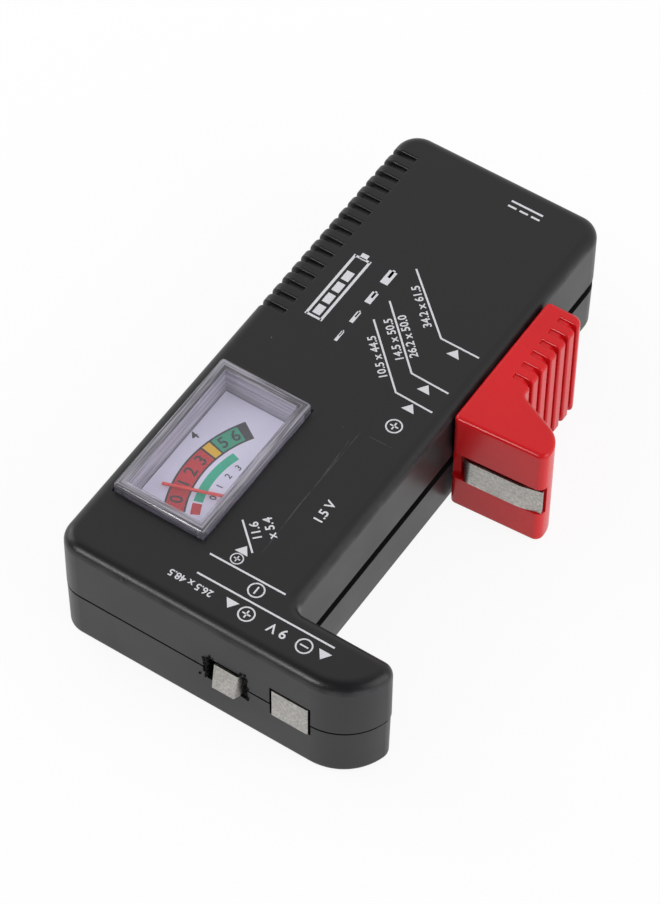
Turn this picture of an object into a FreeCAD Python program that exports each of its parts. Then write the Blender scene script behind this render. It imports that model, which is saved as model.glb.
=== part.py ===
import FreeCAD, Part
import Sketcher
import math
import os
import re

# Battery tester: an L-shaped two-shell case with a needle meter, a sprung sliding jaw and metal contacts.
# Millimetres. +X towards the jaw, +Y to the rear, +Z up. The origin is the footprint's middle, on the table.
# Places are measured from the grip side (X), the front face (Y) and the table (Z).

SIZES = {
    # Case
    "case_length": 108.0,
    "body_width": 40.75,
    "arm_reach": 60.75,
    "arm_depth": 10.65,
    "case_height": 24.8,
    "parting_height": 11.85,
    "wall": 2.0,
    "corner_radius": 4.5,
    "nose_radius": 10.5,
    "heel_radius": 2.4,
    "hollow_heel_radius": 0.5,
    "crook_radius": 1.8,
    "top_round": 2.2,
    "foot_round": 1.2,
    "shell_step": 0.05,
    "parting_gap": 0.55,
    "parting_lip": 0.8,
    "draft": 0.8,
    "fit_gap": 0.2,
    "sheet_metal": 0.4,
    "bend_radius": 0.3,
    # Slot for the jaw
    "slot_low": 10.1,
    "slot_high": 12.55,
    "slot_front": 0.8,
    "slot_rear": 2.0,
    # Thumb grooves along the upper left edge
    "groove_count": 15,
    "groove_pitch": 2.93,
    "groove_first": 60.6,
    "groove_width": 1.0,
    "groove_depth": 0.9,
    "groove_end_depth": 0.6,
    "groove_reach": 5.1,
    "groove_low": 13.2,
    "groove_round": 0.42,
    # Case screws
    "screw_side": 8.0,
    "screw_front": 7.2,
    "screw_rear": 8.0,
    "screw_span": 16.0,
    "screw_radius": 1.2,
    "screw_hold": 7.0,
    "screw_head_radius": 2.5,
    "screw_head_height": 1.8,
    "screw_seat": 5.0,
    "screw_recess": 0.35,
    "cross_width": 0.7,
    "cross_length": 3.0,
    "cross_depth": 1.0,
    "thread_gap": 0.02,
    "boss_radius": 3.6,
    # Meter window and cover
    "window_left": 2.7,
    "window_front": 13.3,
    "window_width": 18.2,
    "window_length": 32.1,
    "window_proud": 1.9,
    "window_wall": 1.7,
    "window_roof": 1.2,
    "window_step": 0.7,
    "window_gap": 0.17,
    "cover_wall": 1.0,
    "lead_channel": 1.5,
    # Meter base
    "base_depth": 11.8,
    "base_wall": 1.2,
    "base_floor": 1.2,
    # Dial
    "dial_depth": 4.8,
    "dial_thickness": 0.5,
    "dial_reach": 23.4,
    "dial_post_side": 22.0,
    "dial_post_inset": 3.9,
    "dial_post_radius": 1.5,
    "dial_screw_radius": 0.6,
    "dial_screw_length": 3.0,
    "dial_head_radius": 1.1,
    "dial_head_height": 0.4,
    # Moving-coil movement
    "pivot_side": 29.4,
    "pivot_front": 28.8,
    "rest_swing": 19.2,
    "magnet_radius": 3.0,
    "magnet_height": 5.6,
    "ring_bore": 4.7,
    "ring_wall": 0.9,
    "core_bar_width": 2.4,
    "core_bar_height": 0.5,
    "coil_lift": 2.7,
    "coil_height": 8.8,
    "coil_reach": 4.2,
    "coil_width": 2.0,
    "winding_thickness": 0.45,
    "former_thickness": 0.35,
    "magnet_lift": 1.5,
    "pin_radius": 0.35,
    "pin_length": 2.3,
    "pin_point": 0.5,
    "pad_radius": 1.1,
    "pad_height": 0.3,
    "jewel_radius": 1.2,
    "jewel_cup": 0.45,
    "jewel_cup_depth": 0.6,
    "jewel_length": 2.1,
    "bridge_width": 4.0,
    "bridge_thickness": 0.8,
    "pillar_offset": 7.2,
    "pillar_radius": 1.0,
    "hair_start": 0.45,
    "hair_step": 0.5,
    "hair_half_turns": 8,
    "hair_thickness": 0.1,
    "hair_height": 0.3,
    "stud_radius": 0.3,
    # Needle
    "hub_radius": 1.1,
    "hub_height": 0.5,
    "needle_length": 23.6,
    "needle_width": 0.42,
    "needle_thickness": 0.4,
    "needle_lift": 0.6,
    "needle_room": 0.45,
    "arm_width": 0.9,
    "riser_reach": 5.1,
    "riser_thickness": 0.6,
    "tail_length": 4.4,
    "weight_radius": 0.8,
    "weight_reach": 3.6,
    "weight_height": 0.7,
    # Sliding jaw
    "slide_gap": 0.3,
    "jaw_front": 57.6,
    "jaw_length": 30.4,
    "jaw_reach": 58.6,
    "jaw_low": 0.3,
    "jaw_high": 24.5,
    "jaw_end_depth": 6.2,
    "jaw_root_depth": 10.8,
    "jaw_end_radius": 5.0,
    "jaw_root_radius": 2.0,
    "jaw_front_radius": 1.6,
    "jaw_rear_radius": 1.8,
    "jaw_heel_radius": 1.0,
    "jaw_back_radius": 1.0,
    "jaw_edge_round": 0.9,
    "jaw_rake": 1.1,
    "grip_thickness": 7.3,
    "grip_notches": 6,
    "grip_pitch": 2.9,
    "grip_first": 70.9,
    "notch_width": 0.95,
    "notch_depth": 0.95,
    "notch_rise": 0.45,
    "notch_reach": 3.6,
    "notch_round": 0.4,
    "mouth_low": 8.1,
    "mouth_high": 15.0,
    "mouth_depth": 2.6,
    "mouth_left": 1.6,
    "mouth_lip": 0.9,
    "tongue_length": 24.6,
    "tongue_gap": 0.2,
    "runner_thickness": 3.7,
    "runner_low": 8.4,
    "runner_high": 14.3,
    "ear_reach": 4.1,
    "ear_length": 2.5,
    # Contact strip of the jaw
    "strip_low": 8.25,
    "strip_high": 14.2,
    "strip_inset": 1.9,
    "strip_depth": 2.4,
    "strip_proud": 0.15,
    "strip_bend": 1.3,
    "strip_ease": 8.0,
    "strip_straight": 4.2,
    "strip_short": 0.3,
    "strip_tuck": 0.7,
    "tail_height": 1.7,
    # Return spring and its fixed lug
    "spring_turns": 26,
    "spring_radius": 1.4,
    "spring_wire": 0.5,
    "spring_leg": 1.8,
    "spring_bend": 0.6,
    "spring_side": 2.15,
    "lug_behind": 2.9,
    "lug_width": 6.1,
    "lug_height": 14.5,
    "lug_rib": 1.8,
    "lug_rib_height": 13.0,
    # Contacts
    "contact_low": 8.8,
    "contact_height": 7.0,
    "contact_room": 0.5,
    "tab_left": 32.15,
    "tab_width": 4.3,
    "tab_height": 5.7,
    "tab_proud": 1.1,
    "tab_set_back": 0.8,
    "tab_lean": 1.4,
    "tab_window_left": 1.7,
    "tab_window_right": 2.0,
    "tab_inner": 8.4,
    "pad_left": 43.3,
    "pad_width": 7.0,
    "pad_proud": 0.1,
    "cell_pad_width": 6.6,
    "cell_pad_proud": 3.0,
    "button_start": 1.1,
    "button_length": 4.8,
    "button_proud": 0.3,
    "button_gap": 0.25,
    # Resistors and leads
    "tag_width": 2.5,
    "tag_thickness": 0.5,
    "tag_height": 8.0,
    "tag_out": 3.4,
    "tag_in": 1.6,
    "tag_negative_side": 12.0,
    "tag_positive_side": 24.0,
    "resistor_side": 20.0,
    "resistor_front": 52.4,
    "resistor_pitch": 5.6,
    "resistor_height": 5.0,
    "load_length": 9.0,
    "load_radius": 1.6,
    "small_length": 6.6,
    "small_radius": 1.2,
    "resistor_lead": 0.3,
    "cradle_width": 1.2,
    "cradle_height": 2.4,
    "cradle_gap": 0.05,
    "lead_radius": 0.55,
    "lead_bend": 1.5,
    "lead_lane": 1.0,
}

doc = FreeCAD.newDocument("battery_tester")
sheet = doc.addObject("Spreadsheet::Sheet", "Sizes")
for row, (alias, value) in enumerate(SIZES.items(), start=1):
    sheet.set(f"A{row}", alias)
    sheet.set(f"B{row}", str(value))
    sheet.setAlias(f"B{row}", alias)
doc.recompute()

pieces = []

# Formulas are text over the sheet's words


def formula(text):
    return re.sub(r"\b[a-z]\w*\b(?!\()", r"Sizes.\g<0>", text)


def bind(obj, prop, text):
    obj.setExpression(prop, formula(text))


def number(text):
    return float(sheet.evalExpression(formula(text)))


def from_grip_side(text):
    return f"(-arm_reach/2 + {text})"


def from_front(text):
    return f"((tab_proud - case_length)/2 + {text})"


LEFT = from_grip_side("0")
SIDE = from_grip_side("body_width")
ARM_END = from_grip_side("arm_reach")
FRONT = from_front("0")
ARM_BACK = from_front("arm_depth")
REAR = from_front("case_length")
CEILING = "(case_height - wall)"
SLOT_MID = "((slot_low + slot_high)/2)"

PIVOT_X = from_grip_side("pivot_side")
PIVOT_Y = from_front("pivot_front")
METER_FRONT = from_front("window_front")
METER_REAR = from_front("(window_front + window_length)")
METER_LEFT = from_grip_side("window_left")
METER_RIGHT = from_grip_side("(body_width - shell_step - wall - lead_channel)")
METER_FLOOR = "(wall + fit_gap + base_floor)"
METER_RIM = "(wall + fit_gap + base_depth)"
DIAL_TOP = "(case_height - dial_depth)"
NEEDLE_LOW = f"({DIAL_TOP} + needle_lift)"
NEEDLE_TOP = f"({NEEDLE_LOW} + needle_thickness)"
COIL_LOW = f"({METER_FLOOR} + coil_lift)"
COIL_TOP = f"({COIL_LOW} + coil_height)"
MAGNET_LOW = f"({COIL_LOW} + magnet_lift)"
MAGNET_TOP = f"({MAGNET_LOW} + magnet_height)"
HUB_LOW = f"({COIL_TOP} + pad_height)"
UPPER_POINT = f"({COIL_TOP} + pad_height + pin_length)"
LOWER_POINT = f"({COIL_LOW} - pad_height - pin_length + pin_point)"
BRIDGE_LOW = f"({UPPER_POINT} - jewel_cup_depth + fit_gap)"
UPPER_HAIR = f"({HUB_LOW} + hub_height + hair_height)"
LOWER_HAIR = f"({LOWER_POINT} + jewel_cup_depth + hair_height)"
HAIR_END = "(hair_start + hair_step*hair_half_turns/2)"
STUD = f"({HAIR_END} + hair_thickness/2 + thread_gap + stud_radius)"

JAW_LEFT = f"({SIDE} + slide_gap)"
JAW_FRONT = from_front("jaw_front")
JAW_REAR = from_front("(jaw_front + jaw_length)")
JAW_END = from_grip_side("jaw_reach")
GRIP_FACE = f"({JAW_LEFT} + grip_thickness)"
RUNNER_SIDE = f"({SIDE} - shell_step - wall - slide_gap)"
RUNNER_BACK = f"({RUNNER_SIDE} - runner_thickness)"
TONGUE_FRONT = f"({JAW_FRONT} + strip_depth)"
TONGUE_REAR = f"({TONGUE_FRONT} + tongue_length)"
EAR_FRONT = f"({TONGUE_REAR} - ear_length)"
SPRING_X = f"({RUNNER_BACK} - spring_side)"
LUG_FRONT = f"({METER_REAR} + lug_behind)"
LUG_BACK = f"({LUG_FRONT} + sheet_metal)"
CONTACT_TOP = "(contact_low + contact_height)"
LEAD_X = f"({METER_RIGHT} + lead_channel/2)"


# Solids

def box(name, x, y, z):
    solid = doc.addObject("Part::Box", name)
    for (low, high), length, axis in zip((x, y, z), ("Length", "Width", "Height"), "xyz"):
        bind(solid, length, f"({high}) - ({low})")
        bind(solid, f"Placement.Base.{axis}", low)
    return solid


def rod(name, x, y, z, radius):
    """An upright cylinder."""
    solid = doc.addObject("Part::Cylinder", name)
    bind(solid, "Radius", radius)
    bind(solid, "Height", f"({z[1]}) - ({z[0]})")
    for axis, place in zip("xyz", (x, y, z[0])):
        bind(solid, f"Placement.Base.{axis}", place)
    return solid


def cone(name, x, y, z, low_radius, high_radius):
    solid = doc.addObject("Part::Cone", name)
    bind(solid, "Radius1", low_radius)
    bind(solid, "Radius2", high_radius)
    bind(solid, "Height", f"({z[1]}) - ({z[0]})")
    for axis, place in zip("xyz", (x, y, z[0])):
        bind(solid, f"Placement.Base.{axis}", place)
    return solid


def lying_rod(name, x, y, z, radius):
    """A cylinder along X."""
    solid = rod(name, x[0], y, (z, f"({z}) + ({x[1]}) - ({x[0]})"), radius)
    solid.Placement.Rotation = FreeCAD.Rotation(FreeCAD.Vector(0, 1, 0), 90)
    return solid


def spoke(name, reach, width, z):
    """A bar along the needle's direction, whose reach is measured from the pivot."""
    solid = doc.addObject("Part::Box", name)
    bind(solid, "Length", f"({reach[1]}) - ({reach[0]})")
    bind(solid, "Width", width)
    bind(solid, "Height", f"({z[1]}) - ({z[0]})")
    solid.Placement.Rotation = FreeCAD.Rotation(FreeCAD.Vector(0, 0, 1), 180 + number("rest_swing"))
    bind(solid, "Placement.Base.x", f"{PIVOT_X} - ({reach[0]})*cos(rest_swing) - ({width})/2*sin(rest_swing)")
    bind(solid, "Placement.Base.y", f"{PIVOT_Y} - ({reach[0]})*sin(rest_swing) + ({width})/2*cos(rest_swing)")
    bind(solid, "Placement.Base.z", z[0])
    return solid


def fuse(name, *solids):
    joined = doc.addObject("Part::MultiFuse", name)
    joined.Shapes = list(solids)
    joined.Refine = True
    return joined


def cut(name, base, *tools):
    result = doc.addObject("Part::Cut", name)
    result.Base = base
    result.Tool = tools[0] if len(tools) == 1 else fuse(name + "_tools", *tools)
    result.Refine = True
    return result


def group(name, solids):
    result = doc.addObject("Part::Compound", name)
    result.Links = list(solids)
    return result


def rounded(name, base, radius, chosen):
    """Fillet the edges of base that the test chooses."""
    doc.recompute()
    result = doc.addObject("Part::Fillet", name)
    result.Base = base
    size = number(radius)
    numbered = enumerate(base.Shape.Edges, start=1)
    result.Edges = [(place, size, size) for place, edge in numbered if chosen(edge)]
    return result


def piece(label, obj):
    obj.Label = label
    pieces.append(obj)
    return obj


def middle(edge):
    return edge.valueAt((edge.FirstParameter + edge.LastParameter)/2)


def upright(edge):
    room = edge.BoundBox
    return room.ZLength > 0.1 and max(room.XLength, room.YLength) < 0.001


def level(edge):
    return edge.BoundBox.ZLength < 0.01


def near(value, text, slack=0.01):
    return abs(value - number(text)) < slack


# Sketched bodies

def new_body(name):
    return doc.addObject("PartDesign::Body", name)


def plane(body, role):
    return next(part for part in body.Origin.OriginFeatures if part.Role == role)


def new_sketch(body, name, role, offset):
    sketch = body.newObject("Sketcher::SketchObject", name)
    sketch.AttachmentSupport = (plane(body, role), [""])
    sketch.MapMode = "FlatFace"
    bind(sketch, "AttachmentOffset.Base.z", offset)
    return sketch


def fix(sketch, kind, *ends, text):
    """Add a dimension bound to a formula."""
    place = sketch.addConstraint(Sketcher.Constraint(kind, *ends, number(text)))
    bind(sketch, f"Constraints[{place}]", text)


def polygon(sketch, corners):
    """A closed outline of straight lines through corners given as pairs of formulas."""
    points = [FreeCAD.Vector(number(x), number(y), 0) for x, y in corners]
    count = len(points)
    for place in range(count):
        sketch.addGeometry(Part.LineSegment(points[place], points[(place + 1) % count]))
    for place, (x, y) in enumerate(corners):
        sketch.addConstraint(Sketcher.Constraint("Coincident", place, 2, (place + 1) % count, 1))
        fix(sketch, "DistanceX", -1, 1, place, 1, text=x)
        fix(sketch, "DistanceY", -1, 1, place, 1, text=y)
    return sketch


def feature(body, kind, name, sketch, length, flipped=False):
    made = body.newObject(kind, name)
    made.Profile = sketch
    bind(made, "Length", length)
    made.Reversed = flipped
    return made


def body_fillet(body, name, base, radius, chosen):
    doc.recompute()
    edges = [f"Edge{place}" for place, edge in enumerate(base.Shape.Edges, start=1) if chosen(edge)]
    made = body.newObject("PartDesign::Fillet", name)
    made.Base = (base, edges)
    bind(made, "Radius", radius)
    return made


def round_corners(body, name, shape, rounds):
    """Rounds upright edges, each given as a radius and its place in plan."""
    for place, (radius, x, y) in enumerate(rounds):
        corner = lambda edge, x=x, y=y: upright(edge) and near(middle(edge).x, x) and near(middle(edge).y, y)
        shape = body_fillet(body, f"{name}_{place}", shape, radius, corner)
    return shape


def folded_strip(name, outer, inner, z, bends):
    """A metal strip on edge: the lines of its two faces in plan, and the bends to round."""
    body = new_body(name)
    plan = polygon(new_sketch(body, name + "_plan", "XY_Plane", z[0]), outer + inner[::-1])
    pad = feature(body, "PartDesign::Pad", name + "_pad", plan, f"({z[1]}) - ({z[0]})")
    round_corners(body, name + "_bend", pad, bends)
    return body


def arc(centre, radius, start, end):
    circle = Part.Circle(FreeCAD.Vector(*centre, 0), FreeCAD.Vector(0, 0, 1), radius)
    return Part.ArcOfCircle(circle, math.radians(start), math.radians(end))


def case_outline(sketch, inset, heel):
    """The L of the case, drawn in by inset: straight sides, round corners and a long round nose."""
    step = number(inset)
    left, side = number(LEFT) + step, number(SIDE) - step
    front, back, rear = number(FRONT) + step, number(ARM_BACK) - step, number(REAR) - step
    corner, crook = number("corner_radius") - step, number("crook_radius") + step
    nose, heel_size = number("nose_radius") - step, number(heel)
    heel_x = number(ARM_END) - step - heel_size
    heel_y = back - heel_size
    nose_y = front + nose
    reach = math.sqrt((nose - heel_size)**2 - (nose_y - heel_y)**2)
    nose_x = heel_x - reach
    turn = math.degrees(math.atan2(heel_y - nose_y, reach))
    point = lambda x, y: FreeCAD.Vector(x, y, 0)
    sketch.addGeometry([
        Part.LineSegment(point(left + corner, front), point(nose_x, front)),
        arc((nose_x, nose_y), nose, -90, turn),
        arc((heel_x, heel_y), heel_size, turn, 90),
        Part.LineSegment(point(heel_x, back), point(side + crook, back)),
        arc((side + crook, back + crook), crook, 180, 270),
        Part.LineSegment(point(side, back + crook), point(side, rear - corner)),
        arc((side - corner, rear - corner), corner, 0, 90),
        Part.LineSegment(point(side - corner, rear), point(left + corner, rear)),
        arc((left + corner, rear - corner), corner, 90, 180),
        Part.LineSegment(point(left, rear - corner), point(left, front + corner)),
        arc((left + corner, front + corner), corner, 180, 270),
    ])
    nose_arc, heel_arc, crook_arc = 1, 2, 4
    last = 10
    joints = [(place, 2, place + 1, 1) for place in range(last) if place not in (3, crook_arc)]
    joints += [(3, 2, crook_arc, 2), (crook_arc, 1, 5, 1), (last, 2, 0, 1)]
    for joint in joints:
        sketch.addConstraint(Sketcher.Constraint("Tangent", *joint))
    for line in (0, 3, 7):
        sketch.addConstraint(Sketcher.Constraint("Horizontal", line))
    for line in (5, 9):
        sketch.addConstraint(Sketcher.Constraint("Vertical", line))
    fix(sketch, "DistanceY", -1, 1, 0, 1, text=f"{FRONT} + {inset}")
    fix(sketch, "DistanceY", -1, 1, 3, 1, text=f"{ARM_BACK} - {inset}")
    fix(sketch, "DistanceY", -1, 1, 7, 1, text=f"{REAR} - {inset}")
    fix(sketch, "DistanceX", -1, 1, 5, 1, text=f"{SIDE} - {inset}")
    fix(sketch, "DistanceX", -1, 1, 9, 1, text=f"{LEFT} + {inset}")
    fix(sketch, "DistanceX", -1, 1, heel_arc, 3, text=f"{ARM_END} - {inset} - {heel}")
    fix(sketch, "Radius", nose_arc, text=f"nose_radius - {inset}")
    fix(sketch, "Radius", heel_arc, text=heel)
    fix(sketch, "Radius", crook_arc, text=f"crook_radius + {inset}")
    for place in (6, 8, 10):
        fix(sketch, "Radius", place, text=f"corner_radius - {inset}")
    return sketch


# Case

def screw_places():
    near_side = from_grip_side("screw_side")
    far_side = from_grip_side("(screw_side + screw_span)")
    rear = from_front("(case_length - screw_rear)")
    return [(near_side, from_front("screw_front")), (near_side, rear), (far_side, rear)]


def slot_room(name, low, high):
    y = (f"{ARM_BACK} + slot_front", f"{REAR} - slot_rear")
    return box(name, (f"{SIDE} - 3*wall", f"{SIDE} + wall"), y, (low, high))


def contact_rooms(name):
    """Holes through the walls for the block tab, the block pad and the round-cell pad."""
    low = "contact_low - cradle_gap"
    z = (low, f"{CONTACT_TOP} + contact_room")
    tab_z = (low, "contact_low + tab_height + contact_room")
    front = (f"{FRONT} - wall", f"{FRONT} + 2*wall")
    back = (f"{ARM_BACK} - 2*wall", f"{ARM_BACK} + wall")
    tab = (from_grip_side("(tab_left - tab_window_left)"),
           from_grip_side("(tab_left + tab_width + tab_window_right)"))
    pad = (from_grip_side("(pad_left - contact_room)"),
           from_grip_side("(pad_left + pad_width + contact_room)"))
    web = from_grip_side("(pad_left + pad_width - sheet_metal)")
    cell = (f"{web} - contact_room", f"{web} + cell_pad_width + contact_room")
    return [box(name + "_tab", tab, front, tab_z),
            box(name + "_pad", pad, front, z),
            box(name + "_cell", cell, back, z)]


def upper_case():
    body = new_body("upper_shell")
    height = "case_height - parting_height"
    outline = case_outline(new_sketch(body, "upper_outline", "XY_Plane", "parting_height"), "0",
                           "heel_radius")
    block = feature(body, "PartDesign::Pad", "upper_block", outline, height)
    top_edges = lambda edge: near(edge.BoundBox.ZMin, "case_height")
    domed = body_fillet(body, "upper_round", block, "top_round", top_edges)
    hollow = case_outline(new_sketch(body, "upper_hollow", "XY_Plane", "parting_height"), "wall",
                          "hollow_heel_radius")
    feature(body, "PartDesign::Pocket", "upper_cavity", hollow, f"{height} - wall", flipped=True)
    doc.recompute()
    grooved = grip_grooves(body)
    body_fillet(body, "groove_edges", grooved, "groove_round", groove_edge)
    bosses = []
    holes = []
    for place, (x, y) in enumerate(screw_places()):
        bosses.append(rod(f"upper_boss_{place}", x, y, ("parting_height", f"{CEILING} + wall/2"),
                          "boss_radius"))
        holes.append(rod(f"upper_pilot_{place}", x, y, ("parting_height", "parting_height + screw_hold"),
                         "screw_radius + thread_gap"))
    window = box("window_opening",
                 (f"{METER_LEFT} - window_gap", f"{METER_LEFT} + window_width + window_gap"),
                 (f"{METER_FRONT} - window_gap", f"{METER_REAR} + window_gap"),
                 (f"{CEILING} - wall", "case_height + wall"))
    slot = slot_room("upper_slot", "parting_height - wall", "slot_high")
    solid = fuse("upper_with_bosses", body, *bosses)
    piece("upper_case", cut("upper_cut", solid, window, slot, *holes, *contact_rooms("upper_room")))


def grip_grooves(body):
    """One groove over the upper left edge, of even depth down the side, repeated along the case."""
    profile = new_sketch(body, "groove_profile", "XZ_Plane", f"-({from_front('groove_first')})")
    floor_x = f"{LEFT} + groove_depth"
    floor_z = "case_height - groove_depth"
    bend_x = f"{LEFT} + top_round"
    bend_z = "case_height - top_round"
    inner = from_grip_side("groove_reach")
    polygon(profile, [(f"{LEFT} - wall", "groove_low"), (floor_x, "groove_low"), (floor_x, bend_z),
                      (bend_x, floor_z), (inner, "case_height - groove_end_depth"),
                      (inner, "case_height + wall"), (f"{LEFT} - wall", "case_height + wall")])
    groove = feature(body, "PartDesign::Pocket", "groove", profile, "groove_width")
    groove.Midplane = True
    row = body.newObject("PartDesign::LinearPattern", "groove_row")
    row.Originals = [groove]
    row.Direction = (plane(body, "Y_Axis"), [""])
    bind(row, "Length", "(groove_count - 1)*groove_pitch")
    row.Occurrences = int(number("groove_count"))
    body.Tip = row
    doc.recompute()
    return row


def groove_edge(edge):
    """Edges where a groove breaks the outer skin."""
    place = middle(edge)
    first = number(from_front("groove_first")) - number("groove_width")
    last = first + number("(groove_count - 1)*groove_pitch + 2*groove_width")
    if not first < place.y < last or edge.BoundBox.ZMin < number("groove_low") - 0.01:
        return False
    if edge.BoundBox.XMax > number(from_grip_side("groove_reach")) + 0.01:
        return False
    if edge.BoundBox.YLength > number("groove_width") + 0.01:
        return False
    across = place.x - number(LEFT)
    on_side = near(place.x, LEFT) and across < 0.01
    on_top = near(place.z, "case_height")
    bend = number("top_round")
    out = math.hypot(across - bend, place.z - number("case_height - top_round"))
    on_bend = abs(out - bend) < 0.01 and edge.BoundBox.YLength < 0.001
    return on_side or on_top or on_bend


def lower_case():
    body = new_body("lower_shell")
    rim = "parting_height - parting_gap"
    outline = case_outline(new_sketch(body, "lower_outline", "XY_Plane", rim), "shell_step",
                           "heel_radius - shell_step")
    block = feature(body, "PartDesign::Pad", "lower_block", outline, rim, flipped=True)
    bind(block, "TaperAngle", "-draft")
    bottom = lambda edge: edge.BoundBox.ZMax < 0.01
    body_fillet(body, "lower_round", block, "foot_round", bottom)
    ledge = case_outline(new_sketch(body, "lower_ledge", "XY_Plane", "parting_height"),
                         "(shell_step + parting_lip)", "heel_radius - shell_step - parting_lip")
    feature(body, "PartDesign::Pad", "lower_lip", ledge, "2*parting_gap", flipped=True)
    hollow = case_outline(new_sketch(body, "lower_hollow", "XY_Plane", "parting_height"),
                          "(wall + shell_step)", "hollow_heel_radius")
    feature(body, "PartDesign::Pocket", "lower_cavity", hollow, "parting_height - wall")
    doc.recompute()
    posts = []
    holes = []
    for place, (x, y) in enumerate(screw_places()):
        posts.append(rod(f"lower_boss_{place}", x, y, ("wall/2", "parting_height"), "boss_radius"))
        holes.append(rod(f"screw_way_{place}", x, y, ("-wall", "parting_height + wall"),
                         "screw_radius + fit_gap"))
        holes.append(rod(f"screw_sink_{place}", x, y, ("-wall", "screw_seat"),
                         "screw_head_radius + screw_recess"))
    posts += lug_ribs()
    for place, (length, radius) in enumerate(resistor_sizes()):
        cradles, trough = resistor_cradles(place, length, radius)
        posts += cradles
        holes.append(trough)
    slot = slot_room("lower_slot", "slot_low", "parting_height + wall")
    solid = fuse("lower_with_posts", body, *posts)
    piece("lower_case", cut("lower_cut", solid, slot, *holes, *contact_rooms("lower_room")))


def lug_ribs():
    """Moulded ribs that trap the spring's fixed lug: two behind it, beside the spring, and one in front."""
    z = ("wall/2", "lug_rib_height")
    left, right = f"{SPRING_X} - lug_width/2", f"{SPRING_X} + lug_width/2"
    behind = (f"{LUG_BACK} + cradle_gap", f"{LUG_BACK} + cradle_gap + lug_rib")
    before = (f"{LUG_FRONT} - cradle_gap - lug_rib/2", f"{LUG_FRONT} - cradle_gap")
    return [box("lug_rib_left", (left, f"{left} + lug_rib*2/3"), behind, z),
            box("lug_rib_right", (f"{right} - lug_rib*2/3", right), behind, z),
            box("lug_rib_front", (left, right), before, ("wall/2", "lug_rib_height/2"))]


def case_screws():
    screws = []
    for place, (x, y) in enumerate(screw_places()):
        head_low = "screw_seat - screw_head_height"
        tip = "parting_height + screw_hold - fit_gap"
        head = rod(f"screw_head_{place}", x, y, (head_low, "screw_seat"), "screw_head_radius")
        shank = rod(f"screw_shank_{place}", x, y, ("screw_seat", f"{tip} - screw_radius"), "screw_radius")
        point = cone(f"screw_point_{place}", x, y, (f"{tip} - screw_radius", tip), "screw_radius",
                     "screw_radius/4")
        z = (f"{head_low} - cross_depth", f"{head_low} + cross_depth")
        along = (f"{x} - cross_length/2", f"{x} + cross_length/2")
        across = (f"{x} - cross_width/2", f"{x} + cross_width/2")
        tall = (f"{y} - cross_length/2", f"{y} + cross_length/2")
        thin = (f"{y} - cross_width/2", f"{y} + cross_width/2")
        solid = fuse(f"screw_solid_{place}", head, shank, point)
        screws.append(cut(f"screw_{place}", solid, box(f"cross_a_{place}", along, thin, z),
                          box(f"cross_b_{place}", across, tall, z)))
    piece("case_screws", group("screws", screws))


# Meter housing

def meter_cover():
    roof_low = f"({NEEDLE_TOP} + needle_room)"
    top = "(case_height + window_proud)"
    x_low, x_high = METER_LEFT, f"{METER_LEFT} + window_width"
    raised = box("cover_raised", (x_low, x_high), (METER_FRONT, METER_REAR), (METER_RIM, top))
    rim_edges = lambda edge: near(edge.BoundBox.ZMin, top) or (upright(edge))
    raised = rounded("cover_raised_round", raised, "window_step", rim_edges)
    skirt = box("cover_skirt", (METER_LEFT, METER_RIGHT), (METER_FRONT, METER_REAR),
                (METER_RIM, f"{CEILING} - fit_gap"))
    inside_y = (f"{METER_FRONT} + window_wall", f"{METER_REAR} - window_wall")
    window_room = box("cover_window_room", (f"{x_low} + window_wall", f"{x_high} - window_wall"), inside_y,
                      (f"{METER_RIM} - wall", f"{top} - window_roof"))
    skirt_room = box("cover_skirt_room", (f"{METER_LEFT} + window_wall", f"{METER_RIGHT} - cover_wall"),
                     inside_y, (f"{METER_RIM} - wall", roof_low))
    piece("meter_cover", cut("cover_cut", fuse("cover_solid", raised, skirt), window_room, skirt_room))


def meter_base():
    low = "(wall + fit_gap)"
    block = box("base_block", (METER_LEFT, METER_RIGHT), (METER_FRONT, METER_REAR), (low, METER_RIM))
    room = box("base_room", (f"{METER_LEFT} + base_wall", f"{METER_RIGHT} - base_wall"),
               (f"{METER_FRONT} + base_wall", f"{METER_REAR} - base_wall"),
               (METER_FLOOR, f"{METER_RIM} + wall"))
    cup = cut("base_cup", block, room)
    sunk = f"{METER_FLOOR} - base_floor/2"
    collar = rod("base_collar", PIVOT_X, PIVOT_Y, (sunk, MAGNET_LOW), "ring_bore + ring_wall")
    collar_bore = rod("base_collar_bore", PIVOT_X, PIVOT_Y, (METER_FLOOR, COIL_TOP), "ring_bore")
    stands = [cut("base_collar_tube", collar, collar_bore)]
    for side, sign in (("front", "-"), ("rear", "+")):
        stands.append(rod(f"base_pillar_{side}", PIVOT_X, f"{PIVOT_Y} {sign} pillar_offset",
                          (sunk, BRIDGE_LOW), "pillar_radius"))
    stands.append(rod("lower_stud", PIVOT_X, f"{PIVOT_Y} + {STUD}",
                      (sunk, f"{LOWER_HAIR} + hair_height"), "stud_radius"))
    holes = [rod("base_jewel_hole", PIVOT_X, PIVOT_Y, (f"{low} - wall", f"{METER_FLOOR} + wall"),
                 "jewel_radius + thread_gap")]
    for place, y in enumerate(dial_post_places()):
        x = from_grip_side("dial_post_side")
        stands.append(rod(f"dial_post_{place}", x, y, (sunk, f"{DIAL_TOP} - dial_thickness"),
                          "dial_post_radius"))
        holes.append(rod(f"dial_post_hole_{place}", x, y, (f"{DIAL_TOP} - dial_screw_length - fit_gap",
                     f"{DIAL_TOP} + wall"), "dial_screw_radius + thread_gap"))
    for side in ("negative", "positive"):
        x, y, z = tag_room(side)
        holes.append(box(f"tag_hole_{side}", (f"{x[0]} - thread_gap", f"{x[1]} + thread_gap"), y,
                         (f"{z[0]} - thread_gap", f"{z[1]} + thread_gap")))
    piece("meter_base", cut("base_cut", fuse("base_solid", cup, *stands), *holes))


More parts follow.
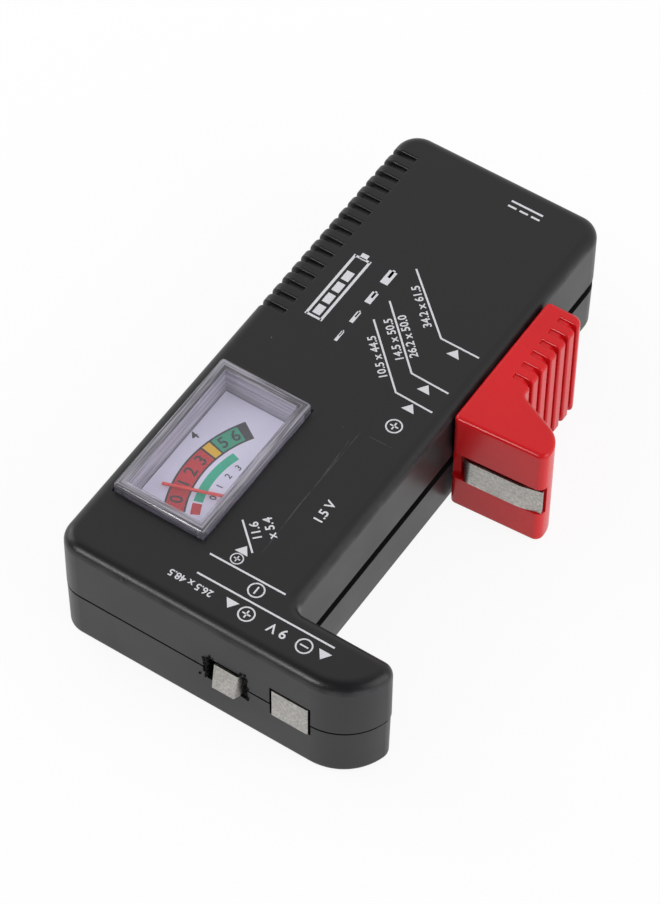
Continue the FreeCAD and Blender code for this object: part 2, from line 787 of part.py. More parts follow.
def tag_room(side):
    start = from_grip_side(f"tag_{side}_side")
    return ((start, f"{start} + tag_width"),
            (f"{METER_REAR} - base_wall - tag_in", f"{METER_REAR} + tag_out"),
            ("tag_height", "tag_height + tag_thickness"))


def meter_tags():
    for side in ("negative", "positive"):
        piece(f"meter_tag_{side}", box(f"tag_{side}", *tag_room(side)))


def dial_post_places():
    return (f"{METER_FRONT} + dial_post_inset", f"{METER_REAR} - dial_post_inset")


def dial():
    left = f"{METER_LEFT} + window_wall + fit_gap"
    y = (f"{METER_FRONT} + window_wall + fit_gap", f"{METER_REAR} - window_wall - fit_gap")
    plate = box("dial_blank", (left, from_grip_side("dial_reach")), y,
                (f"{DIAL_TOP} - dial_thickness", DIAL_TOP))
    x = from_grip_side("dial_post_side")
    holes = []
    screws = []
    for place, post in enumerate(dial_post_places()):
        low = f"{DIAL_TOP} - dial_screw_length"
        holes.append(rod(f"dial_hole_{place}", x, post, (low, f"{DIAL_TOP} + wall"),
                         "dial_screw_radius + thread_gap"))
        shank = rod(f"dial_shank_{place}", x, post, (low, DIAL_TOP), "dial_screw_radius")
        head = rod(f"dial_head_{place}", x, post, (DIAL_TOP, f"{DIAL_TOP} + dial_head_height"),
                   "dial_head_radius")
        screws.append(fuse(f"dial_screw_{place}", shank, head))
    piece("dial_plate", cut("dial_cut", plate, *holes))
    piece("dial_screws", group("dial_screw_pair", screws))


# Meter movement

def magnet_system():
    piece("core_magnet", rod("magnet", PIVOT_X, PIVOT_Y, (MAGNET_LOW, MAGNET_TOP), "magnet_radius"))
    ring = rod("ring_blank", PIVOT_X, PIVOT_Y, (MAGNET_LOW, MAGNET_TOP), "ring_bore + ring_wall")
    bore = rod("ring_hole", PIVOT_X, PIVOT_Y, (f"{MAGNET_LOW} - wall", f"{MAGNET_TOP} + wall"), "ring_bore")
    piece("flux_ring", cut("ring_cut", ring, bore))
    half = "(ring_bore + ring_wall)"
    bar = box("core_bar", (f"{PIVOT_X} - core_bar_width/2", f"{PIVOT_X} + core_bar_width/2"),
              (f"{PIVOT_Y} - {half}", f"{PIVOT_Y} + {half}"), (MAGNET_TOP, f"{MAGNET_TOP} + core_bar_height"))
    piece("core_support", bar)


def frame_ring(name, outer, inner):
    """A rectangular ring about the core: its outer and inner insets from the coil's outside."""
    solids = []
    for label, inset, width in (("out", outer, "coil_width"), ("in", inner, "2*coil_width")):
        reach = f"(coil_reach - ({inset}))"
        solids.append(spoke(f"{name}_{label}", (f"-{reach}", reach), width,
                            (f"{COIL_LOW} + {inset}", f"{COIL_TOP} - ({inset})")))
    return cut(name, *solids)


def moving_coil():
    piece("coil_winding", frame_ring("winding", "0", "winding_thickness"))
    piece("coil_former", frame_ring("former", "winding_thickness", "winding_thickness + former_thickness"))
    pin_top = f"({UPPER_POINT} - pin_point)"
    pad = rod("upper_pad", PIVOT_X, PIVOT_Y, (COIL_TOP, HUB_LOW), "pad_radius")
    pin = rod("upper_pin", PIVOT_X, PIVOT_Y, (HUB_LOW, pin_top), "pin_radius")
    point = cone("upper_tip", PIVOT_X, PIVOT_Y, (pin_top, UPPER_POINT), "pin_radius", "pin_radius/6")
    piece("upper_pivot", fuse("upper_pivot_solid", pad, pin, point))
    pin_low = f"({LOWER_POINT} + pin_point)"
    pad_low = f"({COIL_LOW} - pad_height)"
    pad = rod("lower_pad", PIVOT_X, PIVOT_Y, (pad_low, COIL_LOW), "pad_radius")
    pin = rod("lower_pin", PIVOT_X, PIVOT_Y, (pin_low, pad_low), "pin_radius")
    point = cone("lower_tip", PIVOT_X, PIVOT_Y, (LOWER_POINT, pin_low), "pin_radius/6", "pin_radius")
    piece("lower_pivot", fuse("lower_pivot_solid", pad, pin, point))


def bearings():
    low = f"({UPPER_POINT} - jewel_cup_depth)"
    blank = rod("upper_jewel_blank", PIVOT_X, PIVOT_Y, (low, f"{low} + jewel_length"), "jewel_radius")
    cup = rod("upper_jewel_cup", PIVOT_X, PIVOT_Y, (f"{low} - wall", f"{UPPER_POINT} + cradle_gap"),
              "jewel_cup")
    piece("upper_jewel_screw", cut("upper_jewel_cut", blank, cup))
    high = f"({LOWER_POINT} + jewel_cup_depth)"
    blank = rod("lower_jewel_blank", PIVOT_X, PIVOT_Y, ("wall + fit_gap", high), "jewel_radius")
    cup = rod("lower_jewel_cup", PIVOT_X, PIVOT_Y, (f"{LOWER_POINT} - cradle_gap", f"{high} + wall"),
              "jewel_cup")
    piece("lower_jewel_screw", cut("lower_jewel_cut", blank, cup))
    end = "(pillar_offset + pillar_radius)"
    plate = box("bridge_plate", (f"{PIVOT_X} - bridge_width/2", f"{PIVOT_X} + bridge_width/2"),
                (f"{PIVOT_Y} - {end}", f"{PIVOT_Y} + {end}"),
                (BRIDGE_LOW, f"{BRIDGE_LOW} + bridge_thickness"))
    hole = rod("bridge_hole", PIVOT_X, PIVOT_Y, (f"{BRIDGE_LOW} - wall", f"{BRIDGE_LOW} + wall"),
               "jewel_radius + thread_gap")
    stud = rod("upper_stud", PIVOT_X, f"{PIVOT_Y} + {STUD}",
               (UPPER_HAIR, f"{BRIDGE_LOW} + bridge_thickness/2"), "stud_radius")
    piece("bearing_bridge", cut("bridge_cut", fuse("bridge_solid", plate, stud), hole))


def hairspring(label, level):
    """A flat spiral of half circles about two centres, so each half turn runs smoothly into the next."""
    low = number(level)
    centre = FreeCAD.Vector(number(PIVOT_X), number(PIVOT_Y), low)
    start, step = number("hair_start"), number("hair_step")
    half = number("hair_thickness")/2
    sides = []
    for offset in (-half, half):
        arcs = []
        for turn in range(int(number("hair_half_turns"))):
            radius = start + step*(turn + 1)/2 - step/4 + offset
            sign = 1 if turn % 2 == 0 else -1
            hub_y = centre.y - sign*step/4
            ends = [FreeCAD.Vector(centre.x, hub_y + side*sign*radius, low) for side in (1, -1)]
            crown = FreeCAD.Vector(centre.x - sign*radius, hub_y, low)
            arcs.append(Part.Arc(ends[0], crown, ends[1]).toShape())
        sides.append(arcs)
    inner, outer = sides
    caps = [Part.makeLine(inner[end].Vertexes[end].Point, outer[end].Vertexes[end].Point) for end in (0, -1)]
    outline = Part.Wire(Part.__sortEdges__(inner + outer + caps))
    spring = doc.addObject("Part::Feature", label + "_coil")
    spring.Shape = Part.Face(outline).extrude(FreeCAD.Vector(0, 0, number("hair_height")))
    piece(label, spring)


def needle():
    low, high = HUB_LOW, f"{HUB_LOW} + hub_height"
    hub = rod("hub", PIVOT_X, PIVOT_Y, (low, high), "hub_radius")
    arm = spoke("needle_arm", ("-tail_length", "riser_reach"), "arm_width", (low, high))
    riser = spoke("needle_riser", ("riser_reach - riser_thickness", "riser_reach"), "arm_width",
                  (low, NEEDLE_TOP))
    blade = spoke("needle_blade", ("riser_reach - riser_thickness", "needle_length"), "needle_width",
                  (NEEDLE_LOW, NEEDLE_TOP))
    bore = rod("hub_bore", PIVOT_X, PIVOT_Y, (f"{low} - wall", f"{high} + wall"), "pin_radius + thread_gap")
    piece("pointer", cut("needle_cut", fuse("needle_solid", hub, arm, riser, blade), bore))
    x = f"{PIVOT_X} + weight_reach*cos(rest_swing)"
    y = f"{PIVOT_Y} + weight_reach*sin(rest_swing)"
    piece("balance_weight", rod("weight", x, y, (high, f"{high} + weight_height"), "weight_radius"))


# Sliding jaw

def slider():
    body = new_body("jaw_body")
    outline = new_sketch(body, "jaw_outline", "XY_Plane", "jaw_low")
    end_y = f"{JAW_FRONT} + jaw_end_depth"
    root_y = f"{JAW_FRONT} + jaw_root_depth"
    tip_y = f"{JAW_FRONT} + jaw_rake"
    polygon(outline, [(JAW_LEFT, JAW_FRONT), (JAW_END, tip_y), (JAW_END, end_y), (GRIP_FACE, root_y),
                      (GRIP_FACE, JAW_REAR), (JAW_LEFT, JAW_REAR)])
    shape = feature(body, "PartDesign::Pad", "jaw_block", outline, "jaw_high - jaw_low")
    rounds = [("jaw_end_radius", JAW_END, end_y), ("jaw_root_radius", GRIP_FACE, root_y),
              ("jaw_front_radius", JAW_END, tip_y), ("jaw_rear_radius", GRIP_FACE, JAW_REAR),
              ("jaw_heel_radius", JAW_LEFT, JAW_REAR), ("jaw_back_radius", JAW_LEFT, JAW_FRONT)]
    shape = round_corners(body, "jaw_corner", shape, rounds)
    ends = lambda edge: near(edge.BoundBox.ZMax, "jaw_low") or near(edge.BoundBox.ZMin, "jaw_high")
    body_fillet(body, "jaw_ends", shape, "jaw_edge_round", ends)
    doc.recompute()
    notched = grip_notches(body)
    body_fillet(body, "notch_edges", notched, "notch_round", notch_edge)
    mouth = box("jaw_mouth", (f"{JAW_LEFT} + mouth_left", f"{JAW_END} + wall"),
                (f"{JAW_FRONT} - wall", f"{JAW_FRONT} + mouth_depth"), ("mouth_low", "mouth_high"))
    left_end = (f"{JAW_LEFT} - wall", f"{JAW_LEFT} + mouth_left + wall")
    step = box("jaw_step", left_end, (f"{JAW_FRONT} - wall", f"{JAW_FRONT} + mouth_lip"),
               ("mouth_low", "mouth_high"))
    gap = "(slot_high - slot_low - tail_height)/2"
    slit = box("jaw_slit", left_end, (f"{TONGUE_FRONT} - sheet_metal - fit_gap", TONGUE_FRONT),
               (f"slot_low + {gap} - fit_gap", f"slot_high - {gap} + fit_gap"))
    carved = cut("jaw_carved", body, mouth, step, slit)
    tongue = box("jaw_tongue", (RUNNER_BACK, f"{JAW_LEFT} + mouth_left/2"), (TONGUE_FRONT, TONGUE_REAR),
                 ("slot_low + tongue_gap", "slot_high - tongue_gap"))
    runner = box("jaw_runner", (RUNNER_BACK, RUNNER_SIDE), (TONGUE_FRONT, TONGUE_REAR),
                 ("runner_low", "runner_high"))
    ear = box("jaw_ear", (f"{RUNNER_BACK} - ear_reach", f"{RUNNER_BACK} + runner_thickness/2"),
              (EAR_FRONT, TONGUE_REAR), ("runner_low", "runner_high"))
    piece("slider", fuse("jaw_solid", carved, tongue, runner, ear))


def grip_notches(body):
    """One notch over the upper edge of the thumb grip and down its side, repeated along the grip."""
    profile = new_sketch(body, "notch_profile", "XZ_Plane", f"-({from_front('grip_first')})")
    floor_x = f"{GRIP_FACE} - notch_depth"
    floor_z = "jaw_high - notch_rise"
    inner = f"{GRIP_FACE} - notch_reach"
    out = f"{GRIP_FACE} + wall"
    polygon(profile, [(out, "jaw_low - wall"), (floor_x, "jaw_low - wall"),
                      (floor_x, f"{floor_z} - jaw_edge_round"), (f"{floor_x} - jaw_edge_round", floor_z),
                      (inner, floor_z), (inner, "jaw_high + wall"), (out, "jaw_high + wall")])
    notch = feature(body, "PartDesign::Pocket", "notch", profile, "notch_width")
    notch.Midplane = True
    row = body.newObject("PartDesign::LinearPattern", "notch_row")
    row.Originals = [notch]
    row.Direction = (plane(body, "Y_Axis"), [""])
    bind(row, "Length", "(grip_notches - 1)*grip_pitch")
    row.Occurrences = int(number("grip_notches"))
    body.Tip = row
    doc.recompute()
    return row


def notch_edge(edge):
    """Edges where a notch breaks the side or the top of the thumb grip."""
    place = middle(edge)
    first = number(from_front("grip_first")) - number("notch_width")
    last = first + number("(grip_notches - 1)*grip_pitch + 2*notch_width")
    if not first < place.y < last or edge.BoundBox.YLength > number("notch_width") + 0.01:
        return False
    return near(edge.BoundBox.ZMin, "jaw_high") or upright(edge) and near(place.x, GRIP_FACE)


def slider_contact():
    """One stamped strip: across the mouth, a tail through the slot, along the runner and its ear."""
    left, right = f"({JAW_LEFT} + strip_inset)", f"({JAW_END} - strip_short)"
    turn = f"({JAW_END} - strip_straight)"

    def face(x, back="0"):
        return f"{JAW_FRONT} + jaw_rake*({x} - {JAW_LEFT})/({JAW_END} - {JAW_LEFT}) - strip_proud + {back}"

    outer = [(left, TONGUE_FRONT), (left, face(left)), (turn, face(turn)), (right, face(right, "strip_tuck"))]
    leg = f"{left} + sheet_metal"
    inner = [(leg, TONGUE_FRONT), (leg, face(left, "sheet_metal")), (turn, face(turn, "sheet_metal")),
             (right, face(right, "strip_tuck + sheet_metal"))]
    bends = [("strip_bend + sheet_metal", *outer[1]), ("strip_bend", *inner[1]),
             ("strip_ease", *outer[2]), ("strip_ease", *inner[2])]
    front = folded_strip("strip_front", outer, inner, ("strip_low", "strip_high"), bends)
    tail_z = (f"{SLOT_MID} - tail_height/2", f"{SLOT_MID} + tail_height/2")
    inside = f"({RUNNER_BACK} - sheet_metal)"
    thin = f"({TONGUE_FRONT} - sheet_metal)"
    through = box("strip_through", (inside, leg), (thin, TONGUE_FRONT), tail_z)
    along = box("strip_along", (inside, RUNNER_BACK), (thin, EAR_FRONT), tail_z)
    hook = box("strip_hook", (f"{SPRING_X} - spring_radius - spring_wire", RUNNER_BACK),
               (f"{EAR_FRONT} - sheet_metal", EAR_FRONT), tail_z)
    piece("slider_contact", fuse("strip_solid", front, through, along, hook))


# Return spring

def arc_between(start, heading, end):
    """The circular edge from start, leaving along heading, to end."""
    chord = end - start
    side = chord - heading*chord.dot(heading)
    side.normalize()
    radius = chord.dot(chord)/(2*chord.dot(side))
    centre = start + side*radius
    out = (start + end)*0.5 - centre
    out.normalize()
    return Part.Arc(start, centre + out*radius, end).toShape()


def biarc(start, start_heading, end, end_heading):
    """Two circular edges that leave and arrive along the given headings and join smoothly."""
    chord = end - start
    both = start_heading + end_heading
    square = 2*(1 - start_heading.dot(end_heading))
    slope = chord.dot(both)
    reach = (math.sqrt(slope*slope + square*chord.dot(chord)) - slope)/square
    joint = (start + start_heading*reach + end - end_heading*reach)*0.5
    first = arc_between(start, start_heading, joint)
    back = arc_between(end, end_heading*-1, joint)
    return [first, back]


def least_gap(points, wire, apart):
    """The smallest clear distance between stretches of wire that lie at least apart along it."""
    gaps = []
    for place, point in enumerate(points):
        gaps += [point.distanceToPoint(other) - wire for other in points[place + apart:place + 3*apart]]
    return min(gaps)


def return_spring():
    turns, radius, wire = int(number("spring_turns")), number("spring_radius"), number("spring_wire")
    leg, bend = number("spring_leg"), number("spring_bend")
    x, z = number(SPRING_X), number(SLOT_MID)
    first, last = number(LUG_BACK), number(f"{EAR_FRONT} - sheet_metal")
    low, high = first + leg, last - leg
    pitch = (high - low)/turns
    along = FreeCAD.Vector(0, 1, 0)

    def spot(angle):
        rise = low + pitch*angle/(2*math.pi)
        return FreeCAD.Vector(x + radius*math.cos(angle), rise, z + radius*math.sin(angle))

    def heading(angle):
        way = FreeCAD.Vector(-radius*math.sin(angle), pitch/(2*math.pi), radius*math.cos(angle))
        way.normalize()
        return way

    quarter = math.pi/2
    edges = []
    for place in range(4*turns):
        here, there = place*quarter, (place + 1)*quarter
        edges += biarc(spot(here), heading(here), spot(there), heading(there))
    for angle, way in ((0.0, -1), (2*math.pi*turns, 1)):
        tangent = heading(angle)*way
        straight = along*way
        corner = spot(angle) + tangent*bend + straight*bend
        edges.append(arc_between(spot(angle), tangent, corner))
        stop = first if way < 0 else last
        edges.append(Part.makeLine(corner, FreeCAD.Vector(corner.x, stop, corner.z)))
    path = Part.Wire(Part.__sortEdges__(edges))
    start = FreeCAD.Vector(spot(0.0) + heading(0.0)*-bend)
    start.y = first
    ring = Part.Wire(Part.makeCircle(wire/2, start, along))
    coil = Part.Wire(path).makePipeShell([ring], True, False)
    samples = 24
    points = [spot(2*math.pi*place/samples) for place in range(turns*samples + 1)]
    print("return_spring: least gap to itself", round(least_gap(points, wire, samples - 4), 3), "mm")
    print("return_spring: volume over section by length",
          round(coil.Volume/(math.pi*wire*wire/4*path.Length), 4))
    spring = doc.addObject("Part::Feature", "spring_coil")
    spring.Shape = coil
    piece("return_spring", spring)


def spring_lug():
    x = (f"{SPRING_X} - lug_width/2", f"{SPRING_X} + lug_width/2")
    piece("spring_lug", box("lug", x, (LUG_FRONT, LUG_BACK), ("wall", "lug_height")))


# Contacts

def bent_strip(name, legs, z, bends):
    """Flat legs in plan, joined, with the upright edges at each bend rounded."""
    blanks = [box(f"{name}_leg_{place}", x, y, z) for place, (x, y) in enumerate(legs)]
    joined = fuse(f"{name}_legs", *blanks)
    spots = [(number(x), number(y)) for x, y in bends]

    def at_bend(edge):
        place = middle(edge)
        return upright(edge) and any(abs(place.x - x) < 0.01 and abs(place.y - y) < 0.01 for x, y in spots)

    return rounded(f"{name}_bent", joined, "bend_radius", at_bend)


def block_contact_positive():
    """The tab: its face leans, so that its upper edge stands closer to the case than its lower edge."""
    left, right = from_grip_side("tab_left"), from_grip_side("(tab_left + tab_width)")
    inner = from_grip_side("(tab_left + tab_inner)")
    outside, inside = f"({FRONT} - tab_proud)", f"({FRONT} + wall + shell_step + cradle_gap)"
    back = f"{inside} + sheet_metal"
    foot = f"{right} + tab_lean"
    trim = "0.7*sheet_metal"

    def plan(z, set_back):
        front = f"{outside} + {set_back}"
        corner = f"{right} + tab_lean*{set_back}/({inside} - {outside})"
        outer = [(left, front), (corner, front), (foot, inside), (inner, inside)]
        hidden = [(left, f"{front} + sheet_metal"), (f"{corner} - {trim}", f"{front} + sheet_metal"),
                  (f"{foot} - {trim}", back), (inner, back)]
        return [FreeCAD.Vector(number(x), number(y), number(z)) for x, y in outer + hidden[::-1]]

    def at_bend(edge):
        spot = middle(edge)
        corner = spot.y < number(FRONT) and number(f"{right} - {trim}/2") < spot.x < number(foot)
        heel = near(spot.x, foot) and near(spot.y, inside)
        return not level(edge) and (corner or heel)

    blank = doc.addObject("Part::Feature", "tab_blank")
    blank.Shape = flat_sided(plan("contact_low", "0"), plan("contact_low + tab_height", "tab_set_back"))
    piece("block_contact_positive", rounded("tab_bent", blank, "bend_radius", at_bend))


def flat_sided(foot, head):
    """A solid with flat faces between two outlines that have their corners in the same order."""
    rings = [foot[::-1], head]
    for place, corner in enumerate(foot):
        after = (place + 1) % len(foot)
        rings.append([corner, foot[after], head[after], head[place]])
    skin = Part.makeShell([Part.Face(Part.makePolygon(ring + ring[:1])) for ring in rings])
    skin.sewShape()
    return Part.makeSolid(skin)


def negative_contact():
    left, web = from_grip_side("pad_left"), from_grip_side("(pad_left + pad_width - sheet_metal)")
    right = f"{web} + sheet_metal"
    outside, back = f"{FRONT} - pad_proud", f"{ARM_BACK} + cell_pad_proud"
    legs = [((left, right), (outside, f"{outside} + sheet_metal")),
            ((web, right), (outside, back)),
            ((web, f"{web} + cell_pad_width"), (f"{back} - sheet_metal", back))]
    bends = [(right, outside), (web, f"{outside} + sheet_metal"), (web, back),
             (right, f"{back} - sheet_metal")]
    piece("negative_contact", bent_strip("pad", legs, ("contact_low", CONTACT_TOP), bends))


def button_contact():
    outside = f"{SIDE} + button_proud"
    inside = f"({SIDE} - shell_step - wall - cradle_gap)"
    start, stop = f"{ARM_BACK} + button_start", f"{ARM_BACK} + button_start + button_length"
    legs = [((f"{outside} - sheet_metal", outside), (start, stop)),
            ((f"{inside} - sheet_metal", outside), (f"{stop} - sheet_metal", stop)),
            ((f"{inside} - sheet_metal", inside), (start, stop))]
    inner_stop = f"{stop} - sheet_metal"
    bends = [(outside, stop), (f"{inside} - sheet_metal", stop), (f"{outside} - sheet_metal", inner_stop),
             (inside, inner_stop)]
    z = ("slot_low + button_gap", "slot_high - button_gap")
    piece("button_contact", bent_strip("button", legs, z, bends))


# Resistors and hook-up leads

def resistor_sizes():
    small = ("small_length", "small_radius")
    return (("load_length", "load_radius"), small, small)


def resistor_row(place):
    return from_front(f"(resistor_front + {place}*resistor_pitch)")


def resistor_cradles(place, length, radius):
    x, y = from_grip_side("resistor_side"), resistor_row(place)
    ribs = []
    for side, sign in (("left", "-"), ("right", "+")):
        middle_x = f"{x} {sign} {length}/4"
        ribs.append(box(f"cradle_{place}_{side}",
                        (f"{middle_x} - cradle_width/2", f"{middle_x} + cradle_width/2"),
                        (f"{y} - {radius}", f"{y} + {radius}"), ("wall/2", "wall + cradle_height")))
    trough = lying_rod(f"trough_{place}", (f"{x} - {length}", f"{x} + {length}"), y, "resistor_height",
                       f"{radius} + cradle_gap")
    return ribs, trough


def tube_path(points):
    """Straight runs joined by tangent arcs, each as large as its two runs allow, up to the leads' bend."""
    edges = []
    largest = number("lead_bend")
    here = points[0]
    for before, corner, after in zip(points, points[1:], points[2:]):
        run_in, run_out = corner - before, after - corner
        shorter = min(run_in.Length, run_out.Length)
        setback = min(0.45*shorter, largest*math.tan(run_in.getAngle(run_out)/2))
        run_in.normalize()
        run_out.normalize()
        entry, leave = corner - run_in*setback, corner + run_out*setback
        edges.append(Part.makeLine(here, entry))
        edges.append(arc_between(entry, run_in, leave))
        here = leave
    edges.append(Part.makeLine(here, points[-1]))
    return edges


def tube(name, points, radius):
    edges = tube_path(points)
    path = Part.Wire(edges)
    ring = Part.Wire(Part.makeCircle(radius, points[0], points[1] - points[0]))
    solid = path.makePipeShell([ring], True, False)
    tightest = min(edge.Curve.Radius for edge in edges if hasattr(edge.Curve, "Radius"))
    share = solid.Volume/(math.pi*radius*radius*path.Length)
    print(f"{name}: length {path.Length:.1f} mm, tightest bend {tightest:.2f} mm,",
          f"volume over section by length {share:.4f}")
    made = doc.addObject("Part::Feature", name + "_tube")
    made.Shape = solid
    return made


def spots(*places):
    return [FreeCAD.Vector(*(number(text) for text in place)) for place in places]


def resistor(label, place, left_end, right_end):
    """A lying body with one bent lead at each end."""
    length, radius = resistor_sizes()[place]
    x, y, z = from_grip_side("resistor_side"), resistor_row(place), "resistor_height"
    solids = [lying_rod(f"{label}_body", (f"{x} - {length}/2", f"{x} + {length}/2"), y, z, radius)]
    for side, sign, route in (("left", "-", left_end), ("right", "+", right_end)):
        first = (f"{x} {sign} ({length}/2 - small_radius)", y, z)
        solids.append(tube(f"{label}_{side}", spots(first, *route), number("resistor_lead")))
    piece(label, fuse(f"{label}_solid", *solids))


def resistors():
    z, under = "resistor_height", "tag_height - resistor_lead - cradle_gap"
    negative = from_grip_side("(tag_negative_side + tag_width/2)")
    positive = from_grip_side("(tag_positive_side + tag_width/2)")
    tag_end = f"({METER_REAR} + tag_out/2)"
    lug_x = f"{SPRING_X} - lug_width/2 - resistor_lead - cradle_gap"
    rows = [resistor_row(place) for place in range(3)]
    load_left = [(negative, rows[0], z), (negative, f"{METER_REAR} + tag_out + resistor_pitch/2", under),
                 (negative, tag_end, under)]
    load_right = [(lug_x, rows[0], z), (lug_x, f"{LUG_BACK} + lug_rib", "resistor_height + load_radius"),
                  (lug_x, LUG_FRONT, "resistor_height + load_radius")]
    resistor("load_resistor", 0, load_left, load_right)
    far_left = from_grip_side("(resistor_side - load_length)")
    for place, label, shift in ((1, "block_resistor", "-"), (2, "button_resistor", "+")):
        x = f"{positive} {shift} tag_width/4"
        right = [(x, rows[place], z), (x, f"{rows[0]} + resistor_pitch/2", under), (x, tag_end, under)]
        left = [(far_left, rows[place], z), (far_left, rows[place], "tag_height + small_radius")]
        resistor(label, place, left, right)


def lead(label, *places):
    piece(label, tube(label, spots(*places), number("lead_radius")))


def leads():
    """Insulated leads from the contacts, stacked beside the meter, to the tag and the resistors."""
    lane = f"({METER_REAR} + lead_lane)"
    rise = f"({METER_REAR} + 7/3*lead_lane)"
    arm_mid = from_front("(arm_depth/2)")
    entry = from_front("(arm_depth + wall)")
    low, mid, high = "(wall + 2*lead_radius)", "(wall + 5*lead_radius)", "(wall + 8*lead_radius)"
    contact_mid = "(contact_low + contact_height/2)"
    web = from_grip_side("(pad_left + pad_width - sheet_metal)")
    tag_end = from_grip_side("(tag_negative_side + tag_width/3)")
    tag_side = from_grip_side("(tag_negative_side + tag_width + 4*lead_radius)")
    on_tag = "(tag_height + tag_thickness + lead_radius)"
    lead("lead_negative", (web, arm_mid, contact_mid), (f"{web} - 3*wall", arm_mid, contact_mid),
         (f"{LEAD_X} + wall", arm_mid, low), (LEAD_X, f"{arm_mid} + wall", low), (LEAD_X, lane, low),
         (f"{tag_side} + 3*wall", lane, low), (tag_side, rise, low), (tag_side, rise, on_tag),
         (tag_end, rise, on_tag))
    back = from_front("(wall + shell_step + cradle_gap + sheet_metal)")
    tab_x = from_grip_side("(tab_left + tab_inner - 3*lead_radius)")
    joint_x = from_grip_side("(resistor_side - load_length - resistor_lead)")
    joint_z = "(tag_height - resistor_lead)"
    for place, label, shift in ((1, "lead_block", "1"), (2, "lead_button", "2")):
        row = resistor_row(place)
        level = mid if place == 1 else high
        turn_x = f"({joint_x} - {shift}*wall*3/2)"
        if place == 1:
            start = [(tab_x, back, contact_mid), (tab_x, f"{back} + wall", contact_mid),
                     (LEAD_X, arm_mid, level)]
        else:
            start = [(LEAD_X, f"{ARM_BACK} + button_start + 2*lead_radius", "slot_low + button_gap"),
                     (LEAD_X, f"{ARM_BACK} + button_start + 2*lead_radius", level)]
        lead(label, *start, (LEAD_X, lane, level), (turn_x, lane, level), (turn_x, f"{row} - 2*wall", level),
             (turn_x, row, joint_z), (joint_x, row, joint_z))


BUILDERS = (
    upper_case, lower_case, case_screws, meter_cover, meter_base, meter_tags, dial, magnet_system,
    moving_coil, bearings, needle, slider, slider_contact, return_spring, spring_lug,
    block_contact_positive, negative_contact, button_contact, resistors, leads,
)


def check(obj):
    if "Invalid" in obj.State or "Error" in obj.State:
        raise RuntimeError(f"{obj.Name} failed: {obj.State}")


def main():
    for build in BUILDERS:
        build()
    hairspring("upper_hairspring", UPPER_HAIR)
    hairspring("lower_hairspring", LOWER_HAIR)
    doc.recompute()
    for obj in doc.Objects:
        check(obj)
    for obj in pieces:
        if obj.Shape.isNull() or not obj.Shape.isValid() or not obj.Shape.Solids:
            raise RuntimeError(f"{obj.Label} has no valid solid")
    os.makedirs("parts", exist_ok=True)
    for obj in pieces:
        obj.Shape.exportStep(f"parts/{obj.Label}.step")
        print(obj.Label, len(obj.Shape.Solids), round(obj.Shape.Volume, 2))


main()
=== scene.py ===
"""Looks for the battery tester: finishes, printing and a studio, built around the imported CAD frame."""

import math

import bmesh
import bpy
from bpy.props import FloatProperty, FloatVectorProperty, IntProperty, PointerProperty
from mathutils import Matrix, Vector


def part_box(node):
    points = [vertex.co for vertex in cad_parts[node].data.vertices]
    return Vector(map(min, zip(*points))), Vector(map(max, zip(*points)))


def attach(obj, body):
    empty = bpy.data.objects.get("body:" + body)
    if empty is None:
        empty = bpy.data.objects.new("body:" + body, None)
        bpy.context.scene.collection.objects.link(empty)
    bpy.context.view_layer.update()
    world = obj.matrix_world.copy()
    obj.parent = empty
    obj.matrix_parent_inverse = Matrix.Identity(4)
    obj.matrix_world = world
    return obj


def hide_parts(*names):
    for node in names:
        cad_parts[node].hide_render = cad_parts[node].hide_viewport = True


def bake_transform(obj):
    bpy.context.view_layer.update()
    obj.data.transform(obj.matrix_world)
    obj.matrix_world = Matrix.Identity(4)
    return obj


bl_info = {
    "name": "Battery tester looks",
    "version": (1, 0, 0),
    "blender": (4, 5, 0),
    "location": "3D View > Sidebar > Tester",
    "description": "Finishes, printing and studio for the battery tester",
    "category": "Object",
}

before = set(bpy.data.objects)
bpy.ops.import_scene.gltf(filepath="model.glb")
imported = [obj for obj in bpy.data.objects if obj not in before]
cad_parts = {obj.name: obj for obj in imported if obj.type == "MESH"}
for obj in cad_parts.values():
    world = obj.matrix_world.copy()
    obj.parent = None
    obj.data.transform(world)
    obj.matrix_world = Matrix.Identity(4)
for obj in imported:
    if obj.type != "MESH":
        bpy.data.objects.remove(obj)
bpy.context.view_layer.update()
MM = 0.001
CASE_LOW, CASE_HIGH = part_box("upper_case")
CASE_TOP = CASE_HIGH.z/MM
DIAL_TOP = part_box("dial_plate")[1].z/MM


def at(side, front, up):
    """A place in metres, from millimetres off the case's grip side, its front face and the table."""
    return Vector((CASE_LOW.x + side*MM, CASE_LOW.y + front*MM, up*MM))


def tint(red, green, blue):
    """A display colour, 0 to 255 a channel, as the scene's own light values."""
    values = []
    for channel in (red, green, blue):
        share = channel/255
        values.append(share/12.92 if share <= 0.04045 else ((share + 0.055)/1.055)**2.4)
    return (*values, 1.0)


def colour(name, description, default):
    return FloatVectorProperty(name=name, description=description, subtype="COLOR", size=4,
                               min=0.0, max=1.0, default=default)


def length(name, description, default):
    return FloatProperty(name=name, description=description, unit="LENGTH", subtype="DISTANCE",
                         min=0.0, precision=5, default=default)


# Settings that a user would change

